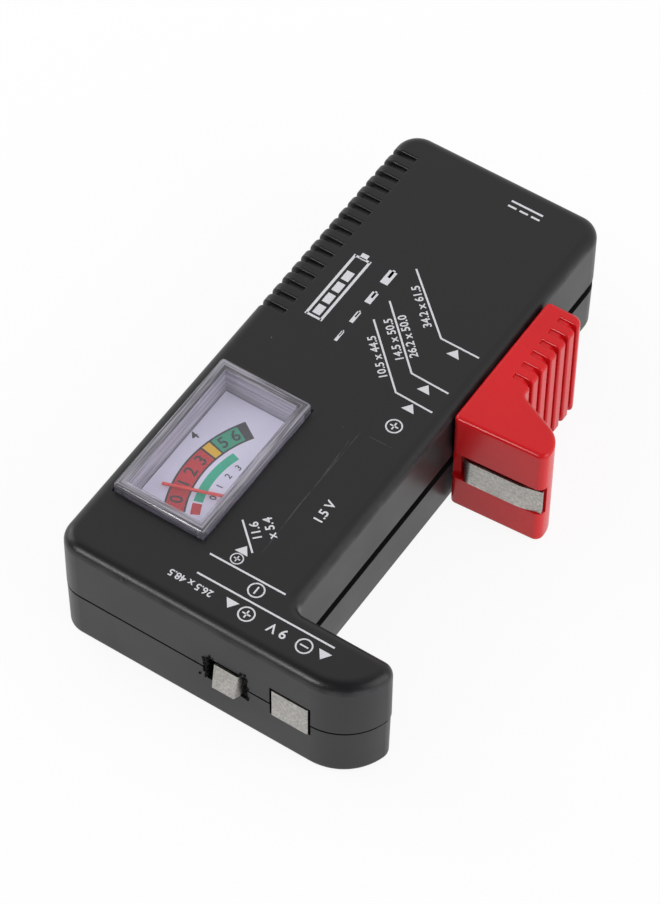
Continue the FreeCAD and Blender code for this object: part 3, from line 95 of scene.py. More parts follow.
class TesterColours(bpy.types.PropertyGroup):
    """Colours of the tester's pieces."""

    case: colour("Case", "Moulded case plastic", tint(25, 25, 27))
    jaw: colour("Jaw", "Glossy plastic of the sliding jaw", tint(202, 22, 28))
    clear: colour("Window", "Clear roof of the meter cover", (0.93, 0.92, 0.965, 1.0))
    clear_edge: colour("Window walls", "Walls of the meter cover, which look milky", tint(186, 183, 194))
    meter: colour("Meter body", "Plain moulding of the meter", tint(52, 52, 56))
    dial: colour("Dial", "Printed dial plate", tint(238, 236, 250))
    needle: colour("Needle", "Painted needle", tint(244, 66, 62))
    print_white: colour("White print", "Marks printed on the case", tint(208, 208, 213))
    dial_red: colour("Dial red", "Weak part of the scale", tint(208, 38, 48))
    dial_yellow: colour("Dial yellow", "Middle part of the scale", tint(240, 192, 22))
    dial_green: colour("Dial green", "Good part of the scale", tint(44, 164, 126))
    dial_mint: colour("Dial light green", "Good part of the small scale", tint(34, 188, 146))
    dial_line: colour("Dial lines", "Outlines, ticks and figures of the dial", tint(52, 52, 58))
    nickel: colour("Contact sheet", "Plated contact sheet", (0.53, 0.51, 0.48, 1.0))


class TesterSizes(bpy.types.PropertyGroup):
    """Sizes of the printing and of the return spring."""

    ink: length("Ink", "Height of the printing above its surface", 0.03*MM)
    line: length("Line", "Width of a printed line", 0.34*MM)
    sign: length("Sign", "Radius of a ringed plus or minus", 1.37*MM)
    arrow: length("Arrow", "Distance from an arrow's middle to its point", 1.15*MM)
    stroke: length("Stroke", "Width of the strokes of a sign", 0.28*MM)
    spring_wire: length("Spring wire", "Diameter of the return spring's wire", 0.5*MM)
    spring_turns: IntProperty(name="Spring turns", description="Turns of the return spring",
                              default=26, min=2)


# Node helpers

def feed(made, inputs):
    """Sets a node's inputs, by label or number, to values or to other nodes' outputs."""
    for label, value in inputs.items():
        if isinstance(value, bpy.types.NodeSocket):
            made.id_data.links.new(value, made.inputs[label])
        else:
            made.inputs[label].default_value = value


def node(tree, kind, inputs=None, **settings):
    """One node, with its options and its inputs."""
    made = tree.nodes.new(kind)
    for option, value in settings.items():
        setattr(made, option, value)
    feed(made, inputs or {})
    return made


def blend_colours(tree, share, first, second):
    mixed = node(tree, "ShaderNodeMix", {0: share, 6: first, 7: second}, data_type="RGBA")
    return mixed.outputs[2]


def ranged(tree, value, low, high, to_low=0.0, to_high=1.0):
    spread = node(tree, "ShaderNodeMapRange", {
        "Value": value, "From Min": low, "From Max": high, "To Min": to_low, "To Max": to_high})
    return spread.outputs["Result"]


def maths(tree, operation, first, second=0.0, **settings):
    return node(tree, "ShaderNodeMath", {0: first, 1: second}, operation=operation, **settings).outputs[0]


def vectors(tree, operation, first, second):
    """A step of vector arithmetic. A dot product or a distance comes out as a number."""
    label = "Scale" if operation == "SCALE" else 1
    made = node(tree, "ShaderNodeVectorMath", {0: first, label: second}, operation=operation)
    return made.outputs["Value" if operation in ("DOT_PRODUCT", "DISTANCE") else "Vector"]


def axes(tree, place):
    return node(tree, "ShaderNodeSeparateXYZ", {"Vector": place}).outputs


def object_place(tree):
    return node(tree, "ShaderNodeTexCoord").outputs["Object"]


def noise(tree, place, scale, detail, roughness=0.5):
    made = node(tree, "ShaderNodeTexNoise", {
        "Vector": place, "Scale": scale, "Detail": detail, "Roughness": roughness})
    return made.outputs["Fac"]


NUMBER = "NodeSocketFloat"
PLACE = "NodeSocketVector"
SHAPE = "NodeSocketGeometry"
SURFACE = "NodeSocketMaterial"


def new_tree(name, kind, inputs, outputs):
    """A node group with named sockets, and its two end nodes."""
    tree = bpy.data.node_groups.new(name, kind)
    for label, socket, value in inputs:
        made = tree.interface.new_socket(label, in_out="INPUT", socket_type=socket)
        if value is not None:
            made.default_value = value
    for label, socket in outputs:
        tree.interface.new_socket(label, in_out="OUTPUT", socket_type=socket)
    return tree, node(tree, "NodeGroupInput"), node(tree, "NodeGroupOutput")


def identifier(tree, label):
    for item in tree.interface.items_tree:
        if item.item_type == "SOCKET" and item.in_out == "INPUT" and item.name == label:
            return item.identifier
    raise KeyError(label)


# Shared surface effects

def shader_group(inputs, outputs):
    """Keeps the node group that a function fills in, under the function's name. It gives out numbers."""
    def keep(fill):
        def group():
            kept = bpy.data.node_groups.get(fill.__name__)
            if kept:
                return kept
            given = [(label, NUMBER) for label in outputs]
            tree, start, end = new_tree(fill.__name__, "ShaderNodeTree", inputs, given)
            for value, socket in zip(fill(tree, start.outputs), end.inputs):
                tree.links.new(value, socket)
            return tree
        return group
    return keep


@shader_group([("Grains per metre", NUMBER, 4000.0), ("Patches per metre", NUMBER, 60.0)], ["Grain", "Patch"])
def moulded_grain(tree, inputs):
    """Spark-eroded mould grain and broad, faint patches."""
    place = object_place(tree)
    fine = noise(tree, place, inputs["Grains per metre"], 2.0, 0.55)
    broad = noise(tree, place, inputs["Patches per metre"], 4.0)
    return fine, ranged(tree, broad, 0.3, 0.7)


@shader_group([("Specks per metre", NUMBER, 500.0), ("Speck size", NUMBER, 0.06), ("Share", NUMBER, 0.05)],
              ["Dust"])
def loose_dust(tree, inputs):
    """Sparse specks of dust, as a mask."""
    cells = node(tree, "ShaderNodeTexVoronoi", {
        "Vector": object_place(tree), "Scale": inputs["Specks per metre"]})
    near = maths(tree, "LESS_THAN", cells.outputs["Distance"], inputs["Speck size"])
    pick = node(tree, "ShaderNodeSeparateColor", {"Color": cells.outputs["Color"]})
    rare = maths(tree, "LESS_THAN", pick.outputs["Red"], inputs["Share"])
    return [maths(tree, "MULTIPLY", near, rare)]


@shader_group([("Lines per metre", PLACE, (300.0, 300.0, 9000.0)), ("Pits per metre", NUMBER, 2200.0)],
              ["Line", "Pit", "Cloud"])
def rolled_sheet(tree, inputs):
    """Rolling lines, small pits and broad clouds of a plated sheet."""
    place = object_place(tree)
    drawn = vectors(tree, "MULTIPLY", place, inputs["Lines per metre"])
    pits = noise(tree, place, inputs["Pits per metre"], 4.0, 0.7)
    cloud = noise(tree, place, 260.0, 3.0)
    return noise(tree, drawn, 1.0, 3.0), ranged(tree, pits, 0.35, 0.65), ranged(tree, cloud, 0.3, 0.7)


@shader_group([("Low corner", PLACE, None), ("High corner", PLACE, None),
               ("Lines per metre", NUMBER, 2600.0)], ["Line"])
def wall_lines(tree, inputs):
    """Lines along the walls of a box, by their depth from its outer edge and by their height, as the mask of
    the walls' painted bright and dark lines.
    """
    place = object_place(tree)
    inward = vectors(tree, "SUBTRACT", place, inputs["Low corner"])
    outward = vectors(tree, "SUBTRACT", inputs["High corner"], place)
    sides = axes(tree, vectors(tree, "MINIMUM", inward, outward))
    depth = maths(tree, "MINIMUM", sides["X"], sides["Y"])
    spot = axes(tree, place)
    drift = 0.03
    slow = maths(tree, "MULTIPLY", maths(tree, "ADD", spot["X"], spot["Y"]), drift)
    flat = node(tree, "ShaderNodeCombineXYZ", {"X": depth, "Y": spot["Z"], "Z": slow})
    lines = noise(tree, flat.outputs["Vector"], inputs["Lines per metre"], 2.0)
    return [ranged(tree, lines, 0.35, 0.65)]


@shader_group([("Start", PLACE, None), ("End", PLACE, None), ("Width", NUMBER, 0.1*MM)], ["Line"])
def witness_line(tree, inputs):
    """The faint line that a mould insert leaves between two places, as a mask that frays along it."""
    place = object_place(tree)
    run = vectors(tree, "SUBTRACT", inputs["End"], inputs["Start"])
    off = vectors(tree, "SUBTRACT", place, inputs["Start"])
    done = vectors(tree, "DOT_PRODUCT", off, run)
    whole = vectors(tree, "DOT_PRODUCT", run, run)
    share = maths(tree, "DIVIDE", done, whole, use_clamp=True)
    gap = vectors(tree, "DISTANCE", off, vectors(tree, "SCALE", run, share))
    near = ranged(tree, gap, 0.0, inputs["Width"], 1.0, 0.0)
    frayed = ranged(tree, noise(tree, place, 420.0, 3.0), 0.38, 0.62, 0.15)
    return [maths(tree, "MULTIPLY", near, frayed)]


@shader_group([("Height", NUMBER, 0.0), ("Reach", NUMBER, MM)], ["Polish"])
def polished_edge(tree, inputs):
    """The polish that hands leave on the edges at one height, in patches, as a mask; the same mask lays a
    painted highlight there.
    """
    place = object_place(tree)
    off = maths(tree, "SUBTRACT", axes(tree, place)["Z"], inputs["Height"])
    edge = ranged(tree, maths(tree, "ABSOLUTE", off), 0.0, inputs["Reach"], 1.0, 0.0)
    patch = ranged(tree, noise(tree, place, 240.0, 4.0), 0.35, 0.65, 0.1)
    return [maths(tree, "MULTIPLY", edge, patch)]


def effect(tree, group, **values):
    """A shared effect placed in one material."""
    made = node(tree, "ShaderNodeGroup", node_tree=group)
    for label, value in values.items():
        made.inputs[label.replace("_", " ").capitalize()].default_value = value
    return made


def new_material(name):
    made = bpy.data.materials.new(name)
    made.use_nodes = True
    return made, made.node_tree, made.node_tree.nodes["Principled BSDF"]


def darker(shade, share):
    return (*[part*share for part in shade[:3]], 1.0)


def bump(tree, height, depth):
    return node(tree, "ShaderNodeBump", {"Height": height, "Distance": depth}).outputs["Normal"]


def plastic(name, shade, smooth, rough, grains, depth, specular=0.5):
    """Moulded plastic: faint patches of shade and gloss over a fine grain."""
    made, tree, shader = new_material(name)
    grain = effect(tree, moulded_grain(), grains_per_metre=grains).outputs
    feed(shader, {
        "Base Color": blend_colours(tree, grain["Patch"], darker(shade, 0.9), tuple(shade)),
        "Roughness": ranged(tree, grain["Patch"], 0.0, 1.0, smooth, rough),
        "Specular IOR Level": specular, "Normal": bump(tree, grain["Grain"], depth)})
    return made


def overlay(made, mask, shade):
    """Lays a colour over a material's own, by a mask."""
    tree = made.node_tree
    base = tree.nodes["Principled BSDF"].inputs["Base Color"]
    tree.links.new(blend_colours(tree, mask, base.links[0].from_socket, shade), base)


def dusty(made, share, shade):
    """Adds sparse dust to a plastic."""
    overlay(made, effect(made.node_tree, loose_dust(), share=share).outputs["Dust"], shade)
    return made


def handled(made, lines, shade):
    """Adds to the case plastic the lines of a mould insert, the polish of its upper edges, and a painted
    highlight along those edges.
    """
    tree = made.node_tree
    for first, last in lines:
        line = effect(tree, witness_line(), start=at(*first, CASE_TOP), end=at(*last, CASE_TOP),
                      width=0.12*MM)
        overlay(made, line.outputs["Line"], shade)
    edge = effect(tree, polished_edge(), height=CASE_HIGH.z - 1.5*MM, reach=0.9*MM).outputs["Polish"]
    # Painted highlight: the edge band's colour is lightened in patches. The lower roughness after it is the
    # real polish.
    overlay(made, ranged(tree, edge, 0.0, 1.0, 0.0, 0.5), shade)
    rough = tree.nodes["Principled BSDF"].inputs["Roughness"]
    gain = ranged(tree, edge, 0.0, 1.0, 0.0, 0.14)
    tree.links.new(maths(tree, "SUBTRACT", rough.links[0].from_socket, gain), rough)
    return made


def metal(name, shade, smooth, rough, pits=2200.0):
    """Sheet or turned metal: rolling lines, pits and clouds in its gloss."""
    made, tree, shader = new_material(name)
    sheet = effect(tree, rolled_sheet(), pits_per_metre=pits).outputs
    clouded = blend_colours(tree, sheet["Cloud"], darker(shade, 0.82), tuple(shade))
    feed(shader, {
        "Base Color": blend_colours(tree, sheet["Pit"], darker(shade, 0.5), clouded),
        "Roughness": ranged(tree, sheet["Line"], 0.3, 0.7, smooth, rough),
        "Metallic": 1.0, "Normal": bump(tree, sheet["Line"], 0.004*MM)})
    return made


CLEAR_IOR = 1.49


def clear_plastic(name, shade):
    """Clear moulding that lets lamp light through to the dial."""
    made, tree, shader = new_material(name)
    grain = effect(tree, moulded_grain(), grains_per_metre=900.0, patches_per_metre=140.0).outputs
    feed(shader, {
        "Base Color": tuple(shade), "Roughness": ranged(tree, grain["Patch"], 0.0, 1.0, 0.02, 0.06),
        "Specular IOR Level": 0.32, "Transmission Weight": 1.0, "IOR": CLEAR_IOR})
    return let_lamps_through(made, shade)


def mix_surface(tree, share, first, second):
    """Puts out a mix of two shaders as a material's surface."""
    both = node(tree, "ShaderNodeMixShader", {0: share, 1: first, 2: second})
    feed(tree.nodes["Material Output"], {"Surface": both.outputs["Shader"]})


def let_lamps_through(made, shade):
    """Makes a clear material cast a pale, coloured shadow."""
    tree = made.node_tree
    lamp = node(tree, "ShaderNodeLightPath").outputs["Is Shadow Ray"]
    open_way = node(tree, "ShaderNodeBsdfTransparent", {"Color": tuple(shade)})
    mix_surface(tree, lamp, tree.nodes["Principled BSDF"].outputs["BSDF"], open_way.outputs["BSDF"])
    return made


def milky_plastic(name, shade, clear, contrast, corners):
    """Thick clear walls: part milky, with painted bright and dark lines along them that stand for the light
    bending in the walls.
    """
    made, tree, shader = new_material(name)
    line = effect(tree, wall_lines(), low_corner=corners[0], high_corner=corners[1]).outputs["Line"]
    feed(shader, {
        "Base Color": blend_colours(tree, line, darker(shade, contrast), tuple(shade)),
        "Roughness": ranged(tree, line, 0.0, 1.0, 0.22, 0.1),
        "Transmission Weight": clear, "IOR": CLEAR_IOR})
    return let_lamps_through(made, (0.8, 0.8, 0.82, 1.0))


def ink(name, shade):
    """Printing ink, a little uneven."""
    return plastic(name, shade, 0.5, 0.65, 6000.0, 0.002*MM, 0.35)


def winding(name, shade):
    """Enamelled wire in close turns."""
    made, tree, shader = new_material(name)
    turns = node(tree, "ShaderNodeTexWave", {
        "Vector": object_place(tree), "Scale": 2400.0, "Distortion": 0.4},
        wave_type="BANDS", bands_direction="Z")
    turn = turns.outputs["Fac"]
    feed(shader, {
        "Base Color": blend_colours(tree, turn, darker(shade, 0.45), shade),
        "Metallic": 0.8, "Roughness": 0.35, "Normal": bump(tree, turn, 0.04*MM)})
    return made


INSERT_LINES = (((30.1, 45.9), (29.95, 28.2)), ((29.95, 28.2), (30.3, 16.6)), ((29.5, 43.4), (29.9, 34.6)),
                ((31.9, 46.15), (36.1, 46.2)), ((26.8, 45.5), (27.2, 45.3)))


def case_plastic(name, shade):
    made = plastic(name, shade, 0.32, 0.42, 5200.0, 0.018*MM, 0.3)
    return handled(dusty(made, 0.02, tint(92, 92, 94)), INSERT_LINES, tint(74, 74, 77))


# How each of the record's slots is finished: a function, a colour or the name of a setting, and more values
FINISHES = {
    "case_plastic": (case_plastic, "case"),
    "red_plastic": (plastic, "jaw", 0.2, 0.3, 1500.0, 0.004*MM, 0.28),
    "clear_plastic": (clear_plastic, "clear"),
    "meter_plastic": (plastic, "meter", 0.4, 0.55, 3000.0, 0.008*MM),
    "dial_print": (plastic, "dial", 0.45, 0.6, 5000.0, 0.002*MM, 0.3),
    "needle_red": (plastic, "needle", 0.35, 0.5, 5000.0, 0.002*MM),
    "nickel_sheet": (metal, "nickel", 0.26, 0.44),
    "steel": (metal, (0.56, 0.56, 0.57, 1.0), 0.25, 0.4),
    "brass": (metal, (0.72, 0.52, 0.22, 1.0), 0.25, 0.4),
    "bronze": (metal, (0.62, 0.38, 0.18, 1.0), 0.25, 0.4),
    "aluminium": (metal, (0.76, 0.77, 0.78, 1.0), 0.3, 0.45),
    "magnet": (metal, (0.13, 0.13, 0.14, 1.0), 0.45, 0.65, 1200.0),
    "copper_winding": (winding, (0.62, 0.25, 0.1, 1.0)),
    "resistor_body": (plastic, tint(206, 178, 134), 0.25, 0.4, 2000.0, 0.004*MM),
    "lead_black": (plastic, tint(34, 34, 36), 0.35, 0.5, 3000.0, 0.004*MM),
    "lead_red": (plastic, tint(186, 36, 34), 0.35, 0.5, 3000.0, 0.004*MM),
    "lead_yellow": (plastic, tint(216, 180, 40), 0.35, 0.5, 3000.0, 0.004*MM),
}


def finish(slot):
    """The material of one of the record's slots, made the first time it is asked for."""
    for made in bpy.data.materials:
        if made.get("tester_slot") == slot:
            return made
    maker, shade, *values = FINISHES[slot]
    if isinstance(shade, str):
        shade = getattr(bpy.context.scene.tester_colours, shade)
    made = maker(slot, shade, *values)
    made["tester_slot"] = slot
    return made


def dress(*names):
    """Gives CAD nodes the finish of the slot that the record names for them."""
    for name in names:
        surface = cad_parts[name].data
        for place, old in enumerate(surface.materials):
            slot = old.name.split(".")[0]
            surface.materials[place] = finish(slot)


# Mesh helpers

def slab(form, outline, low, high):
    """A flat plate from an outline that runs anticlockwise, seen from above."""
    floor = [form.verts.new((point.x, point.y, low)) for point in outline]
    roof = [form.verts.new((point.x, point.y, high)) for point in outline]
    form.faces.new(roof)
    form.faces.new(floor[::-1])
    for place in range(len(outline)):
        after = (place + 1) % len(outline)
        form.faces.new((floor[place], floor[after], roof[after], roof[place]))


def ribbon(points, width):
    """The outline of a line of even width along some points, with mitred bends."""
    sides = ([], [])
    for place, point in enumerate(points):
        before = points[max(place - 1, 0)]
        after = points[min(place + 1, len(points) - 1)]
        ways = [(b - a).to_2d().normalized() for a, b in ((before, point), (point, after)) if a != b]
        along = (ways[0] + ways[-1]).normalized()
        across = Vector((-along.y, along.x))
        reach = width/2/max(across.dot(Vector((-ways[0].y, ways[0].x))), 0.3)
        for side, sign in zip(sides, (-1, 1)):
            side.append(point.to_2d() + across*reach*sign)
    return sides[0] + sides[1][::-1]


def arc_band(form, centre, inner, outer, start, end, low, high):
    """A ring section, between two angles from the needle's middle line, that opens towards the grip side."""
    count = max(2, int(abs(end - start)/1.5))
    rows = []
    for place in range(count + 1):
        angle = math.radians(start + (end - start)*place/count)
        way = Vector((-math.cos(angle), math.sin(angle)))
        near, far = centre + way*inner, centre + way*outer
        rows.append([form.verts.new((spot.x, spot.y, up)) for spot, up in
                     ((near, low), (far, low), (far, high), (near, high))])
    for here, there in zip(rows, rows[1:]):
        for corner in range(4):
            after = (corner + 1) % 4
            form.faces.new((here[corner], there[corner], there[after], here[after]))
    form.faces.new(rows[0])
    form.faces.new(rows[-1][::-1])


def to_mesh(form):
    """Closes off a bmesh as a plain mesh with its faces outwards."""
    bmesh.ops.recalc_face_normals(form, faces=form.faces)
    made = bpy.data.meshes.new("mesh")
    form.to_mesh(made)
    form.free()
    return made


def new_object(name, data):
    made = bpy.data.objects.new(name, data)
    bpy.context.scene.collection.objects.link(made)
    return made


def add_piece(name, mesh, body, material):
    """A finished piece that rides on a body."""
    made = new_object(name, mesh)
    mesh.name = name
    mesh.materials.clear()
    mesh.materials.append(material)
    if body:
        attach(made, body)
    return made


def add_print(name, mesh, material):
    """A piece of ink on the case or the dial."""
    add_piece(name, mesh, "case", material)


def evaluated(obj):
    """What an object's modifiers or text make, as a plain mesh."""
    bpy.context.view_layer.update()
    return bpy.data.meshes.new_from_object(obj.evaluated_get(bpy.context.evaluated_depsgraph_get()))


def merged_copy(name):
    """A CAD node's mesh as one skin, with its flat faces flat and its rounds smooth."""
    form = bmesh.new()
    form.from_mesh(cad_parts[name].data)
    bmesh.ops.remove_doubles(form, verts=form.verts, dist=0.001*MM)
    form.normal_update()
    for face in form.faces:
        face.smooth = max(abs(part) for part in face.normal) < 0.999
    made = bpy.data.meshes.new(name + "_copy")
    form.to_mesh(made)
    form.free()
    return made


def box_of(points):
    """The lowest and highest corners of some points."""
    spots = list(points)
    return [Vector(pick(spot[axis] for spot in spots) for axis in range(3)) for pick in (min, max)]


def figures(text, size, middle, turn, thickness):
    """Plain figures as a raised mesh, centred on a place and turned about the vertical."""
    curve = bpy.data.curves.new("figures", "FONT")
    curve.body = text
    curve.size = size
    curve.align_x = "CENTER"
    curve.align_y = "CENTER"
    curve.extrude = thickness/2
    curve.offset = size*0.016
    curve.resolution_u = 3
    holder = new_object("figures", curve)
    made = evaluated(holder)
    bpy.data.objects.remove(holder)
    bpy.data.curves.remove(curve)
    made.transform(Matrix.Translation(middle) @ Matrix.Rotation(turn, 4, "Z"))
    return made


def joined(meshes):
    """Several meshes as one, with doubled points merged."""
    form = bmesh.new()
    for mesh in meshes:
        form.from_mesh(mesh)
        bpy.data.meshes.remove(mesh)
    bmesh.ops.remove_doubles(form, verts=form.verts, dist=0.001*MM)
    bmesh.ops.dissolve_degenerate(form, edges=form.edges, dist=0.001*MM)
    return to_mesh(form)


# Repeated marks, as geometry nodes

def coat(tree, shape, start, end):
    """Ends a tree: gives the shape its material and puts it out."""
    made = node(tree, "GeometryNodeSetMaterial", {"Geometry": shape, "Material": start.outputs["Material"]})
    tree.links.new(made.outputs["Geometry"], end.inputs[0])


def mark_tree(kind):
    """Marks of one kind on points: each point's turn and size attributes place a mark."""
    tree, start, end = new_tree(
        kind + "_marks", "GeometryNodeTree",
        [("Points", SHAPE, None), ("Radius", NUMBER, MM), ("Stroke", NUMBER, MM), ("Thickness", NUMBER, MM),
         ("Material", SURFACE, None)],
        [("Marks", SHAPE)])
    radius, stroke, thick = [start.outputs[label] for label in ("Radius", "Stroke", "Thickness")]
    if kind == "arrow":
        mark = node(tree, "GeometryNodeMeshCylinder", {"Vertices": 3, "Radius": radius, "Depth": thick})
    elif kind == "ring":
        path = node(tree, "GeometryNodeCurvePrimitiveCircle", {"Resolution": 48, "Radius": radius})
        section = node(tree, "GeometryNodeCurvePrimitiveQuadrilateral", {"Width": stroke, "Height": thick})
        mark = node(tree, "GeometryNodeCurveToMesh", {
            "Curve": path.outputs["Curve"], "Profile Curve": section.outputs["Curve"]})
    elif kind == "crumb":
        mark = node(tree, "GeometryNodeMeshIcoSphere", {"Radius": radius, "Subdivisions": 2})
    else:
        block = node(tree, "ShaderNodeCombineXYZ", {"X": radius, "Y": stroke, "Z": thick})
        mark = node(tree, "GeometryNodeMeshCube", {"Size": block.outputs["Vector"]})
    turn, size = [node(tree, "GeometryNodeInputNamedAttribute", {"Name": label}, data_type=form)
                  for label, form in (("turn", "FLOAT"), ("size", "FLOAT_VECTOR"))]
    spin = node(tree, "FunctionNodeAxisAngleToRotation", {
        "Axis": (0.0, 0.0, 1.0), "Angle": turn.outputs["Attribute"]})
    placed = node(tree, "GeometryNodeInstanceOnPoints", {
        "Points": start.outputs["Points"], "Instance": mark.outputs["Mesh"],
        "Rotation": spin.outputs["Rotation"], "Scale": size.outputs["Attribute"]})
    real = node(tree, "GeometryNodeRealizeInstances", {"Geometry": placed.outputs["Instances"]})
    shape = real.outputs["Geometry"]
    if kind == "crumb":
        half = 0.5
        shake = node(tree, "FunctionNodeRandomValue", {
            0: (-half, -half, -half), 1: (half, half, half), "Seed": 4}, data_type="FLOAT_VECTOR")
        torn = vectors(tree, "SCALE", shake.outputs["Value"], radius)
        moved = node(tree, "GeometryNodeSetPosition", {"Geometry": shape, "Offset": torn})
        shape = moved.outputs["Geometry"]
    coat(tree, shape, start, end)
    return tree


def stamped(kind, places, radius, stroke, thickness, material):
    """Marks of one kind as one plain mesh. Each place has a point, a turn and a size."""
    tree = bpy.data.node_groups.get(kind + "_marks") or mark_tree(kind)
    points = bpy.data.meshes.new(kind + "_points")
    points.from_pydata([place[0] for place in places], [], [])
    turns = points.attributes.new("turn", "FLOAT", "POINT")
    turns.data.foreach_set("value", [place[1] for place in places])
    sizes = points.attributes.new("size", "FLOAT_VECTOR", "POINT")
    sizes.data.foreach_set("vector", [part for place in places for part in place[2]])
    return grown(points, tree, {"Radius": radius, "Stroke": stroke, "Thickness": thickness,
                                "Material": material})


def wire_tree():
    """A round wire along a row of points."""
    tree, start, end = new_tree(
        "drawn_wire", "GeometryNodeTree",
        [("Path", SHAPE, None), ("Radius", NUMBER, MM), ("Material", SURFACE, None)], [("Wire", SHAPE)])
    path = node(tree, "GeometryNodeMeshToCurve", {"Mesh": start.outputs["Path"]})
    section = node(tree, "GeometryNodeCurvePrimitiveCircle", {
        "Resolution": 10, "Radius": start.outputs["Radius"]})
    swept = node(tree, "GeometryNodeCurveToMesh", {
        "Curve": path.outputs["Curve"], "Profile Curve": section.outputs["Curve"], "Fill Caps": True})
    real = node(tree, "GeometryNodeRealizeInstances", {"Geometry": swept.outputs["Mesh"]})
    coat(tree, real.outputs["Geometry"], start, end)
    return tree


def drawn_wire(points, thickness, material):
    """A wire through a row of points, as one plain mesh."""
    path = bpy.data.meshes.new("wire_path")
    path.from_pydata(points, [(place, place + 1) for place in range(len(points) - 1)], [])
    tree = bpy.data.node_groups.get("drawn_wire") or wire_tree()
    return grown(path, tree, {"Radius": thickness/2, "Material": material})


def grown(mesh, tree, values):
    """What a tree makes of a mesh, as a plain mesh."""
    holder = new_object(mesh.name, mesh)
    layer = holder.modifiers.new("tree", "NODES")
    layer.node_group = tree
    for label, value in values.items():
        layer[identifier(tree, label)] = value
    made = evaluated(holder)
    bpy.data.objects.remove(holder)
    bpy.data.meshes.remove(mesh)
    return made


WHITE = (1.0, 1.0, 1.0, 1.0)
PLAIN_SIZE = (1.0, 1.0, 1.0)
ARROW_SIZE = (1.0, 1.25, 1.0)
QUARTER = math.pi/2


# Operators

class TESTER_OT_case(bpy.types.Operator):
    """Finish the two case shells and their screws"""

    bl_idname = "tester.case"
    bl_label = "Case"

    def execute(self, context):
        dress("upper_case", "lower_case", "case_screws")
        self.gate_mark()
        self.torn_edge(context.scene.tester_colours)
        return {"FINISHED"}

    def gate_mark(self):
        """The low stub that the mould's gate left on the front edge."""
        form = bmesh.new()
        middle = at(13.85, 0.18, 23.46)
        sides = 20
        rings = []
        for radius, out in ((0.3, -0.6), (0.3, 0.05), (0.2, 0.14), (0.07, 0.17)):
            turns = [math.tau*place/sides for place in range(sides)]
            spots = [Vector((math.cos(turn)*radius, -out, math.sin(turn)*radius))*MM for turn in turns]
            rings.append([form.verts.new(middle + spot) for spot in spots])
        form.faces.new(rings[0])
        for inner, outer in zip(rings, rings[1:]):
            for place in range(sides):
                after = (place + 1) % sides
                form.faces.new((inner[place], inner[after], outer[after], outer[place]))
        form.faces.new(rings[-1])
        add_piece("gate_mark", to_mesh(form), "case", finish("case_plastic"))

    def torn_edge(self, colours):
        """Crumbs of plastic round the tab's hole, which was cut out roughly. Their plastic is darker than the
        case's own, painted shade for the dark round the hole.
        """
        left = ((30.25, 9.3, 0.8), (30.4, 10.2, 1.0), (29.95, 11.0, 1.1), (30.5, 11.7, 1.0),
                (30.0, 12.6, 1.2), (30.6, 13.2, 1.1), (29.9, 13.9, 1.2), (30.5, 14.6, 1.2),
                (30.9, 15.3, 1.0), (31.7, 15.2, 0.7))
        right = ((38.5, 9.2, 0.9), (38.2, 10.6, 1.0), (38.4, 12.2, 1.1), (38.0, 13.6, 1.2), (38.3, 14.4, 1.2),
                 (38.0, 15.4, 1.1), (37.2, 15.3, 0.9))
        chips = ((28.1, 11.6, 0.5), (29.0, 9.0, 0.4))
        # Darker than the case: painted shade round the tab's hole. The matt gloss is the plastic's own.
        matt = plastic("torn_plastic", darker(colours.case, 0.7), 0.75, 0.9, 3000.0, 0.03*MM, 0.12)
        places = [(at(side, 0.12, up), side, (size, size*0.7, size*1.5))
                  for side, up, size in left + right + chips]
        mesh = stamped("crumb", places, 0.36*MM, MM, MM, matt)
        add_piece("torn_edge", mesh, "case", matt)


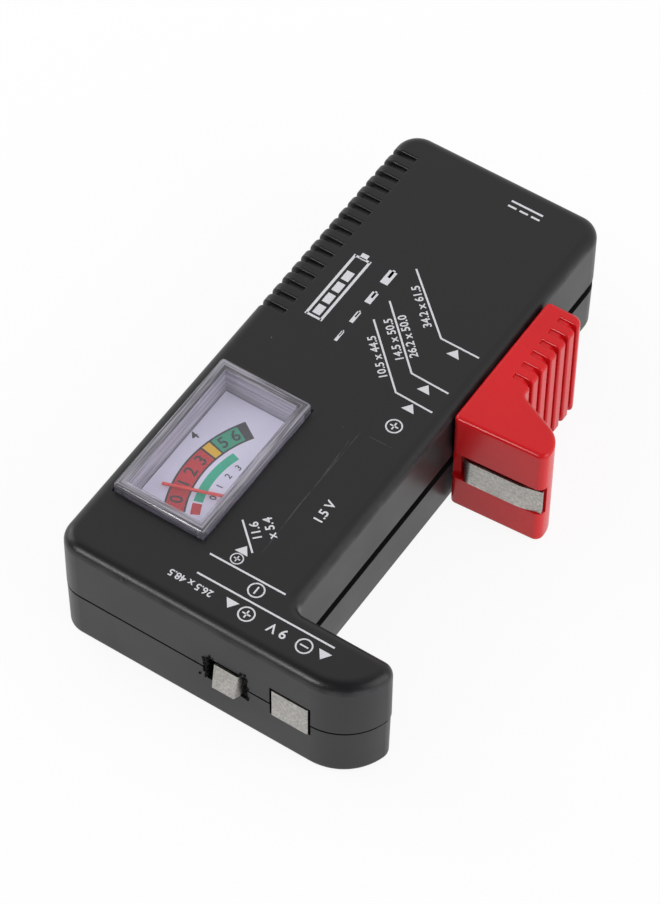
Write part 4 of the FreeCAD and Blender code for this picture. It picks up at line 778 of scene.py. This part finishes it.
class TESTER_OT_meter(bpy.types.Operator):
    """Finish the meter's cover, body and movement"""

    bl_idname = "tester.meter"
    bl_label = "Meter"

    def execute(self, context):
        self.window(context.scene.tester_colours)
        dress("meter_base", "dial_plate", "dial_screws", "meter_tag_negative", "meter_tag_positive",
              "core_magnet", "flux_ring", "core_support", "bearing_bridge", "upper_jewel_screw",
              "lower_jewel_screw", "upper_hairspring", "lower_hairspring", "pointer", "coil_former",
              "coil_winding", "upper_pivot", "lower_pivot", "balance_weight")
        return {"FINISHED"}

    # Each wall's material: name, share of the walls' colour, clear share, contrast of its lines. The shares
    # are painted light: the ends are painted a little darker as shade, the sides lighter as light coming
    # through the cover, and the rim lighter still, a painted highlight along the top.
    WALLS = (("clear_plastic_ends", 0.9, 0.12, 0.5), ("clear_plastic_sides", 1.05, 0.12, 0.5),
             ("clear_plastic_outside", 1.0, 0.8, 0.4), ("clear_plastic_rim", 1.45, 0.6, 0.2))
    ROOF, ENDS, SIDES, OUTSIDE, RIM = range(5)
    FLAT = 0.99

    def window(self, colours):
        """The cover, with a clear roof, and milky walls up to their upper rim.

        The rim reaches a little way over the roof at the grip side and at the rear.
        """
        mesh = merged_copy("meter_cover")
        made = add_piece("window_cover", mesh, "case", finish("clear_plastic"))
        shown = box_of(point.co for point in mesh.vertices if point.co.z > CASE_HIGH.z)
        for name, share, clear, contrast in self.WALLS:
            # The walls' colour scaled by each wall's share: painted light and shade.
            shade = darker(colours.clear_edge, share)
            mesh.materials.append(milky_plastic(name, shade, clear, contrast, shown))
        form = bmesh.new()
        form.from_mesh(mesh)
        form.normal_update()
        inside = box_of(corner.co for face in form.faces for corner in face.verts
                        if face.normal.z < -self.FLAT and self.over_case(face))
        clear = (inside[0] + Vector((0.3, 0.0, 0.0))*MM, inside[1] - Vector((0.0, 0.5, 0.0))*MM)
        self.cut_roof(form, clear)
        for face in form.faces:
            face.material_index = self.wall(face, inside, clear)
        form.to_mesh(mesh)
        form.free()
        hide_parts("meter_cover")

    def over_case(self, face):
        return face.calc_center_median().z > CASE_HIGH.z

    def cut_roof(self, form, corners):
        """Divides the roof along the edges of its clear part."""
        for corner in corners:
            for way in (Vector((1.0, 0.0, 0.0)), Vector((0.0, 1.0, 0.0))):
                roof = [face for face in form.faces if face.normal.z > self.FLAT and self.over_case(face)]
                edges = {edge for face in roof for edge in face.edges}
                points = {point for face in roof for point in face.verts}
                bmesh.ops.bisect_plane(form, geom=roof + list(edges) + list(points), dist=0.001*MM,
                                       plane_co=corner, plane_no=way)

    def wall(self, face, inside, clear):
        """Which of the cover's materials a face has."""
        spot = face.calc_center_median()
        over = self.over_case(face)
        if over and face.normal.z > 0.2:
            return self.ROOF if self.between(spot, *clear) else self.RIM
        if not self.between(spot, *inside):
            return self.OUTSIDE
        if over and face.normal.z < -self.FLAT:
            return self.ROOF
        return self.ENDS if abs(face.normal.y) > 0.9 else self.SIDES

    def between(self, spot, low, high):
        """Whether a place lies in a box, seen from above."""
        slack = 0.02*MM
        return low.x - slack < spot.x < high.x + slack and low.y - slack < spot.y < high.y + slack


class TESTER_OT_jaw(bpy.types.Operator):
    """Finish the sliding jaw and its contact strip"""

    bl_idname = "tester.jaw"
    bl_label = "Jaw"

    def execute(self, context):
        dress("slider", "slider_contact")
        return {"FINISHED"}


class TESTER_OT_contacts(bpy.types.Operator):
    """Finish the fixed contacts, the resistors and the leads"""

    bl_idname = "tester.contacts"
    bl_label = "Contacts and wiring"

    def execute(self, context):
        dress("block_contact_positive", "negative_contact", "button_contact", "spring_lug",
              "load_resistor", "block_resistor", "button_resistor",
              "lead_negative", "lead_block", "lead_button")
        self.spring(context.scene.tester_sizes)
        return {"FINISHED"}

    def spring(self, sizes):
        """The return spring's wire, from the case at its front end to the jaw at its rear end, drawn in
        place; it rides on no body.
        """
        low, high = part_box("return_spring")
        radius = (high.x - low.x - sizes.spring_wire)/2
        axis = (low + high)/2
        leg = 1.8*MM
        bend = 0.6*MM
        turns = sizes.spring_turns
        rise = (high.y - low.y - 2*leg)/turns
        points = [Vector((axis.x + radius, low.y, axis.z - bend)),
                  Vector((axis.x + radius, low.y + leg - bend, axis.z - bend))]
        steps = 24
        for place in range(turns*steps + 1):
            angle = math.tau*place/steps
            points.append(Vector((axis.x + radius*math.cos(angle), low.y + leg + rise*place/steps,
                                  axis.z + radius*math.sin(angle))))
        points += [Vector((axis.x + radius, high.y - leg + bend, axis.z + bend)),
                   Vector((axis.x + radius, high.y, axis.z + bend))]
        steel = finish("steel")
        mesh = drawn_wire(points, sizes.spring_wire, steel)
        made = add_piece("return_spring_wire", mesh, None, steel)
        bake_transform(made)
        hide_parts("return_spring")


class TESTER_OT_case_print(bpy.types.Operator):
    """Print the cell lines, arrows, signs and figures on the case"""

    bl_idname = "tester.case_print"
    bl_label = "Case print"

    def execute(self, context):
        sizes = context.scene.tester_sizes
        white = ink("white_print", context.scene.tester_colours.print_white)
        self.lines(sizes, white)
        self.arrows(sizes, white)
        self.signs(sizes, white)
        self.labels(sizes, white)
        self.symbols(sizes, white)
        return {"FINISHED"}

    def lines(self, sizes, white):
        routes = (
            ((18.7, 80.9), (30.5, 70.4), (38.1, 70.4)),
            ((18.75, 72.4), (30.4, 61.3), (37.9, 61.1)),
            ((18.7, 67.5), (30.4, 56.4), (37.8, 56.2)),
            ((23.3, 11.65), (38.1, 11.75)),
            ((23.7, 7.4), (50.5, 7.45)),
            ((23.9, 20.2), (29.0, 15.6)),
        )
        form = bmesh.new()
        for route in routes:
            points = [at(*spot, CASE_TOP) for spot in route]
            slab(form, ribbon(points, sizes.line), *print_levels(sizes))
        add_print("cell_lines", to_mesh(form), white)

    def arrows(self, sizes, white):
        rearward = [(34.2, 68.75), (34.15, 59.6), (34.15, 54.75)]
        small = [(27.5, 15.1)]
        forward = [(31.7, 5.5), (49.7, 5.5)]
        places = [(mark_place(spot, sizes), QUARTER, ARROW_SIZE) for spot in rearward + small]
        places += [(mark_place(spot, sizes), -QUARTER, ARROW_SIZE) for spot in forward]
        mesh = stamped("arrow", places, sizes.arrow, sizes.stroke, sizes.ink, white)
        add_print("polarity_arrows", mesh, white)

    def signs(self, sizes, white):
        small = 0.77
        plus = [((34.05, 50.25), 1.0), ((27.55, 13.25), small), ((35.0, 5.05), 1.0)]
        minus = [((33.7, 9.8), QUARTER), ((46.2, 5.05), 0.0)]
        rings = [(mark_place(spot, sizes), 0.0, (size, size, 1.0)) for spot, size in plus]
        rings += [(mark_place(spot, sizes), 0.0, PLAIN_SIZE) for spot, _ in minus]
        bars = [(mark_place(spot, sizes), turn, (size, size, 1.0)) for spot, size in plus
                for turn in (0.0, QUARTER)]
        bars += [(mark_place(spot, sizes), turn, PLAIN_SIZE) for spot, turn in minus]
        for kind, places, reach in (("ring", rings, sizes.sign), ("bar", bars, sizes.sign*1.15)):
            mesh = stamped(kind, places, reach, sizes.stroke, sizes.ink, white)
            add_print(f"sign_{kind}s", mesh, white)

    def labels(self, sizes, white):
        slant = math.radians(136.5)
        labels = (
            ("10.5 x 44.5", 2.1, (23.75, 61.05), slant),
            ("14.5 x 50.5", 2.1, (24.0, 65.75), slant),
            ("26.2 x 50.0", 2.1, (25.6, 67.7), slant),
            ("34.2 x 61.5", 2.1, (24.0, 74.45), slant),
            ("11.6", 2.2, (27.0, 19.6), slant),
            ("x 5.4", 2.2, (28.6, 21.4), slant),
            ("1.5 V", 2.4, (34.3, 29.0), QUARTER),
            ("26.5 x 48.5", 1.9, (24.0, 5.15), math.pi),
            ("9 V", 2.6, (41.0, 5.2), math.pi),
        )
        meshes = [figures(text, size*MM, mark_place(spot, sizes), turn, sizes.ink)
                  for text, size, spot, turn in labels]
        add_print("size_figures", joined(meshes), white)

    def symbols(self, sizes, white):
        form = bmesh.new()
        for sides, ends in (*self.battery(), *self.cells(), *self.direct_current()):
            plate(form, sides, ends, print_levels(sizes))
        add_print("case_symbols", to_mesh(form), white)

    def battery(self):
        """Strokes of a plain battery with its charge bars. The end strokes share no edge with the sides."""
        left, right, front, rear = 8.3, 11.3, 62.4, 77.6
        edge, nub, inset, bars = 0.5, 0.7, 0.75, 5
        for side in (left, right):
            yield (side - edge/2, side + edge/2), (front - edge/2, rear + edge/2)
        for end in (front, rear):
            yield (left, right), (end - edge/2.2, end + edge/2.2)
        middle = (left + right)/2
        yield (middle - nub, middle + nub), (rear, rear + 1.2)
        step = (rear - front - edge)/bars
        for place in range(bars - 1):
            begin = front + edge + place*step + 0.15
            yield (left + inset, right - inset), (begin, begin + step - inset)

    def cells(self):
        """A row of cells by size, each with its cap."""
        middle, spot, gap, cap = 15.8, 60.0, 2.4, 0.3
        for width, tall in ((0.55, 2.4), (0.75, 2.7), (1.2, 2.7), (1.55, 3.2)):
            yield (middle - width/2, middle + width/2), (spot, spot + tall)
            yield (middle - width/6, middle + width/6), (spot + tall/2, spot + tall + cap)
            spot += tall + gap

    def direct_current(self):
        """A full stroke over three short ones."""
        left, right, step, dash = 24.2, 30.6, 2.35, 1.7
        yield (left, right), (102.95, 103.35)
        for place in range(3):
            begin = left + place*step
            yield (begin, begin + dash), (101.75, 102.15)


def print_levels(sizes):
    return CASE_TOP*MM - sizes.ink/3, CASE_TOP*MM + sizes.ink*2/3


def mark_place(spot, sizes):
    """The middle of a mark's thickness on the case's top."""
    return at(*spot, CASE_TOP) + Vector((0.0, 0.0, sizes.ink/6))


def plate(form, sides, ends, levels):
    corners = ((sides[0], ends[0]), (sides[1], ends[0]), (sides[1], ends[1]), (sides[0], ends[1]))
    slab(form, [at(*corner, 0.0) for corner in corners], *levels)


class TESTER_OT_dial_print(bpy.types.Operator):
    """Print the dial's coloured bands, outlines, ticks and plain figures"""

    bl_idname = "tester.dial_print"
    bl_label = "Dial print"

    CENTRE = (30.5, 27.5)
    MAIN = (19.4, 22.9)
    SMALL = (16.75, 18.4)

    def execute(self, context):
        colours = context.scene.tester_colours
        sizes = context.scene.tester_sizes
        inks = {key: ink(f"dial_{key}_print", getattr(colours, "dial_" + key))
                for key in ("line", "red", "yellow", "green", "mint")}
        line = inks["line"]
        inks["dark"] = line
        levels = (DIAL_TOP*MM - sizes.ink/3, DIAL_TOP*MM + sizes.ink/3)
        over = (DIAL_TOP*MM, DIAL_TOP*MM + sizes.ink*2/3)
        bands = {"red": ((self.MAIN, -27.0, 9.1), (self.SMALL, -28.0, -20.5)),
                 "yellow": ((self.MAIN, 9.1, 14.3),), "green": ((self.MAIN, 14.3, 28.5),),
                 "dark": ((self.MAIN, 28.5, 32.4),), "mint": ((self.SMALL, -19.3, 18.3),)}
        for key, parts in bands.items():
            form = bmesh.new()
            for part in parts:
                self.band(form, *part, levels)
            add_print(f"dial_{key}_band", to_mesh(form), inks[key])
        self.outlines(over, line)
        self.figures(sizes, line)
        return {"FINISHED"}

    def band(self, form, radii, start, end, levels):
        centre = at(*self.CENTRE, 0.0).to_2d()
        arc_band(form, centre, radii[0]*MM, radii[1]*MM, start, end, *levels)

    def outlines(self, levels, line):
        form = bmesh.new()
        half = 0.17
        for radius in self.MAIN:
            self.band(form, (radius - half, radius + half), -27.0, 32.4, levels)
        for angle in (9.1, 14.3, 28.5):
            self.band(form, self.MAIN, angle - 0.5, angle + 0.5, levels)
        add_print("dial_outlines", to_mesh(form), line)

    def figures(self, sizes, line):
        centre = at(*self.CENTRE, DIAL_TOP) + Vector((0.0, 0.0, sizes.ink/2))
        rows = ((21.1, 3.2, (("0", -20.3), ("1", -10.8), ("2", -3.6), ("3", 4.2), ("5", 18.3), ("6", 25.0))),
                (25.4, 2.4, (("4", 11.7),)),
                (15.4, 1.7, (("0", -14.0), ("1", -4.5), ("2", 5.0), ("3", 14.0))))
        meshes = []
        for radius, size, marks in rows:
            for text, angle in marks:
                turn = math.radians(angle)
                spot = centre + Vector((-math.cos(turn), math.sin(turn), 0.0))*radius*MM
                meshes.append(figures(text, size*MM, spot, QUARTER - turn, sizes.ink/2))
        add_print("dial_figures", joined(meshes), line)


class TESTER_OT_stage(bpy.types.Operator):
    """Set up the floor, the lights and the camera"""

    bl_idname = "tester.stage"
    bl_label = "Stage"

    def execute(self, context):
        self.floor()
        self.world(context.scene)
        self.lamps()
        context.scene.camera = self.camera()
        context.scene.view_settings.view_transform = "Standard"
        return {"FINISHED"}

    def seen(self, tree):
        """1 for rays from the camera, from gloss and through glass."""
        path = node(tree, "ShaderNodeLightPath").outputs
        direct = maths(tree, "MAXIMUM", path["Is Camera Ray"], path["Is Glossy Ray"])
        return maths(tree, "MAXIMUM", direct, path["Is Transmission Ray"])

    def floor(self):
        """A pale floor that looks nearly white and keeps the shadow."""
        half = 1.5
        glow = 0.9
        mesh = bpy.data.meshes.new("floor")
        corners = [(-half, -half, 0.0), (half, -half, 0.0), (half, half, 0.0), (-half, half, 0.0)]
        mesh.from_pydata(corners, [], [(0, 1, 2, 3)])
        made, tree, shader = new_material("pale_floor")
        feed(shader, {"Base Color": (0.86, 0.86, 0.86, 1.0), "Roughness": 0.9, "Specular IOR Level": 0.1})
        white = node(tree, "ShaderNodeEmission", {"Color": WHITE, "Strength": 1.0})
        share = maths(tree, "MULTIPLY", self.seen(tree), glow)
        mix_surface(tree, share, shader.outputs["BSDF"], white.outputs["Emission"])
        mesh.materials.append(made)
        floor = new_object("floor", mesh)

    def world(self, scene):
        """An even white sky, whose reflection fades towards the front."""
        light = 0.7
        fade = {"low": -0.2, "high": 0.4, "to_low": 0.08, "to_high": 1.0}
        world = bpy.data.worlds.new("studio")
        world.use_nodes = True
        tree = world.node_tree
        even = ranged(tree, self.seen(tree), 0.0, 1.0, light, 1.0)
        way = node(tree, "ShaderNodeTexCoord").outputs["Generated"]
        shaded = ranged(tree, axes(tree, way)["Y"], **fade)
        gloss = node(tree, "ShaderNodeLightPath").outputs["Is Glossy Ray"]
        share = node(tree, "ShaderNodeMix", {0: gloss, 2: 1.0, 3: shaded}, data_type="FLOAT").outputs[0]
        feed(tree.nodes["Background"], {"Color": WHITE, "Strength": maths(tree, "MULTIPLY", even, share)})
        scene.world = world

    def lamps(self):
        """A lamp on each side, and one at the front that reaches gloss only."""
        for name, spot, size, power, diffuse in (
                ("left_lamp", Vector((-0.65, -0.05, 0.32)), 0.5, 2.8, True),
                ("front_gleam", Vector((-0.24, -0.68, 0.38)), 0.2, 3.0, False),
                ("side_lamp", Vector((0.6, 0.0, 0.28)), 0.5, 2.2, True)):
            lamp = bpy.data.lights.new(name, "AREA")
            lamp.size = size
            lamp.energy = power
            holder = new_object(name, lamp)
            holder.location = spot
            holder.rotation_euler = spot.to_track_quat("Z", "Y").to_euler()
            holder.visible_diffuse = diffuse

    def camera(self):
        """The photograph's viewpoint: turned to the right of the front, well above, with a long lens."""
        turn, rise, roll = math.radians(33.0), math.radians(53.14), math.radians(0.69)
        camera = bpy.data.cameras.new("camera")
        camera.lens = 158.92
        camera.sensor_width = 36.0
        camera.clip_end = 10.0
        back = Vector((math.sin(turn)*math.cos(rise), -math.cos(turn)*math.cos(rise), math.sin(rise)))
        right = Vector((math.cos(turn), math.sin(turn), 0.0))
        facing = Matrix((right, back.cross(right), back)).transposed() @ Matrix.Rotation(roll, 3, "Z")
        holder = new_object("camera", camera)
        holder.location = Vector((0.2145, -0.3474, 0.5556))
        holder.rotation_euler = facing.to_euler()
        return holder


PIECES = (TESTER_OT_case, TESTER_OT_meter, TESTER_OT_jaw, TESTER_OT_contacts, TESTER_OT_case_print,
          TESTER_OT_dial_print, TESTER_OT_stage)


class TESTER_PT_panel(bpy.types.Panel):
    """The tester's pieces, colours and sizes"""

    bl_label = "Battery tester"
    bl_idname = "TESTER_PT_panel"
    bl_space_type = "VIEW_3D"
    bl_region_type = "UI"
    bl_category = "Tester"

    def draw(self, context):
        for piece in PIECES:
            self.layout.operator(piece.bl_idname)
        for group in (context.scene.tester_colours, context.scene.tester_sizes):
            for key in group.__annotations__:
                self.layout.prop(group, key)


CLASSES = (TesterColours, TesterSizes, *PIECES, TESTER_PT_panel)


def register():
    for item in CLASSES:
        bpy.utils.register_class(item)
    bpy.types.Scene.tester_colours = PointerProperty(type=TesterColours)
    bpy.types.Scene.tester_sizes = PointerProperty(type=TesterSizes)


def unregister():
    del bpy.types.Scene.tester_sizes
    del bpy.types.Scene.tester_colours
    for item in reversed(CLASSES):
        bpy.utils.unregister_class(item)


def main():
    register()
    for piece in PIECES:
        group, action = piece.bl_idname.split(".")
        getattr(getattr(bpy.ops, group), action)()


if __name__ == "__main__":
    main()
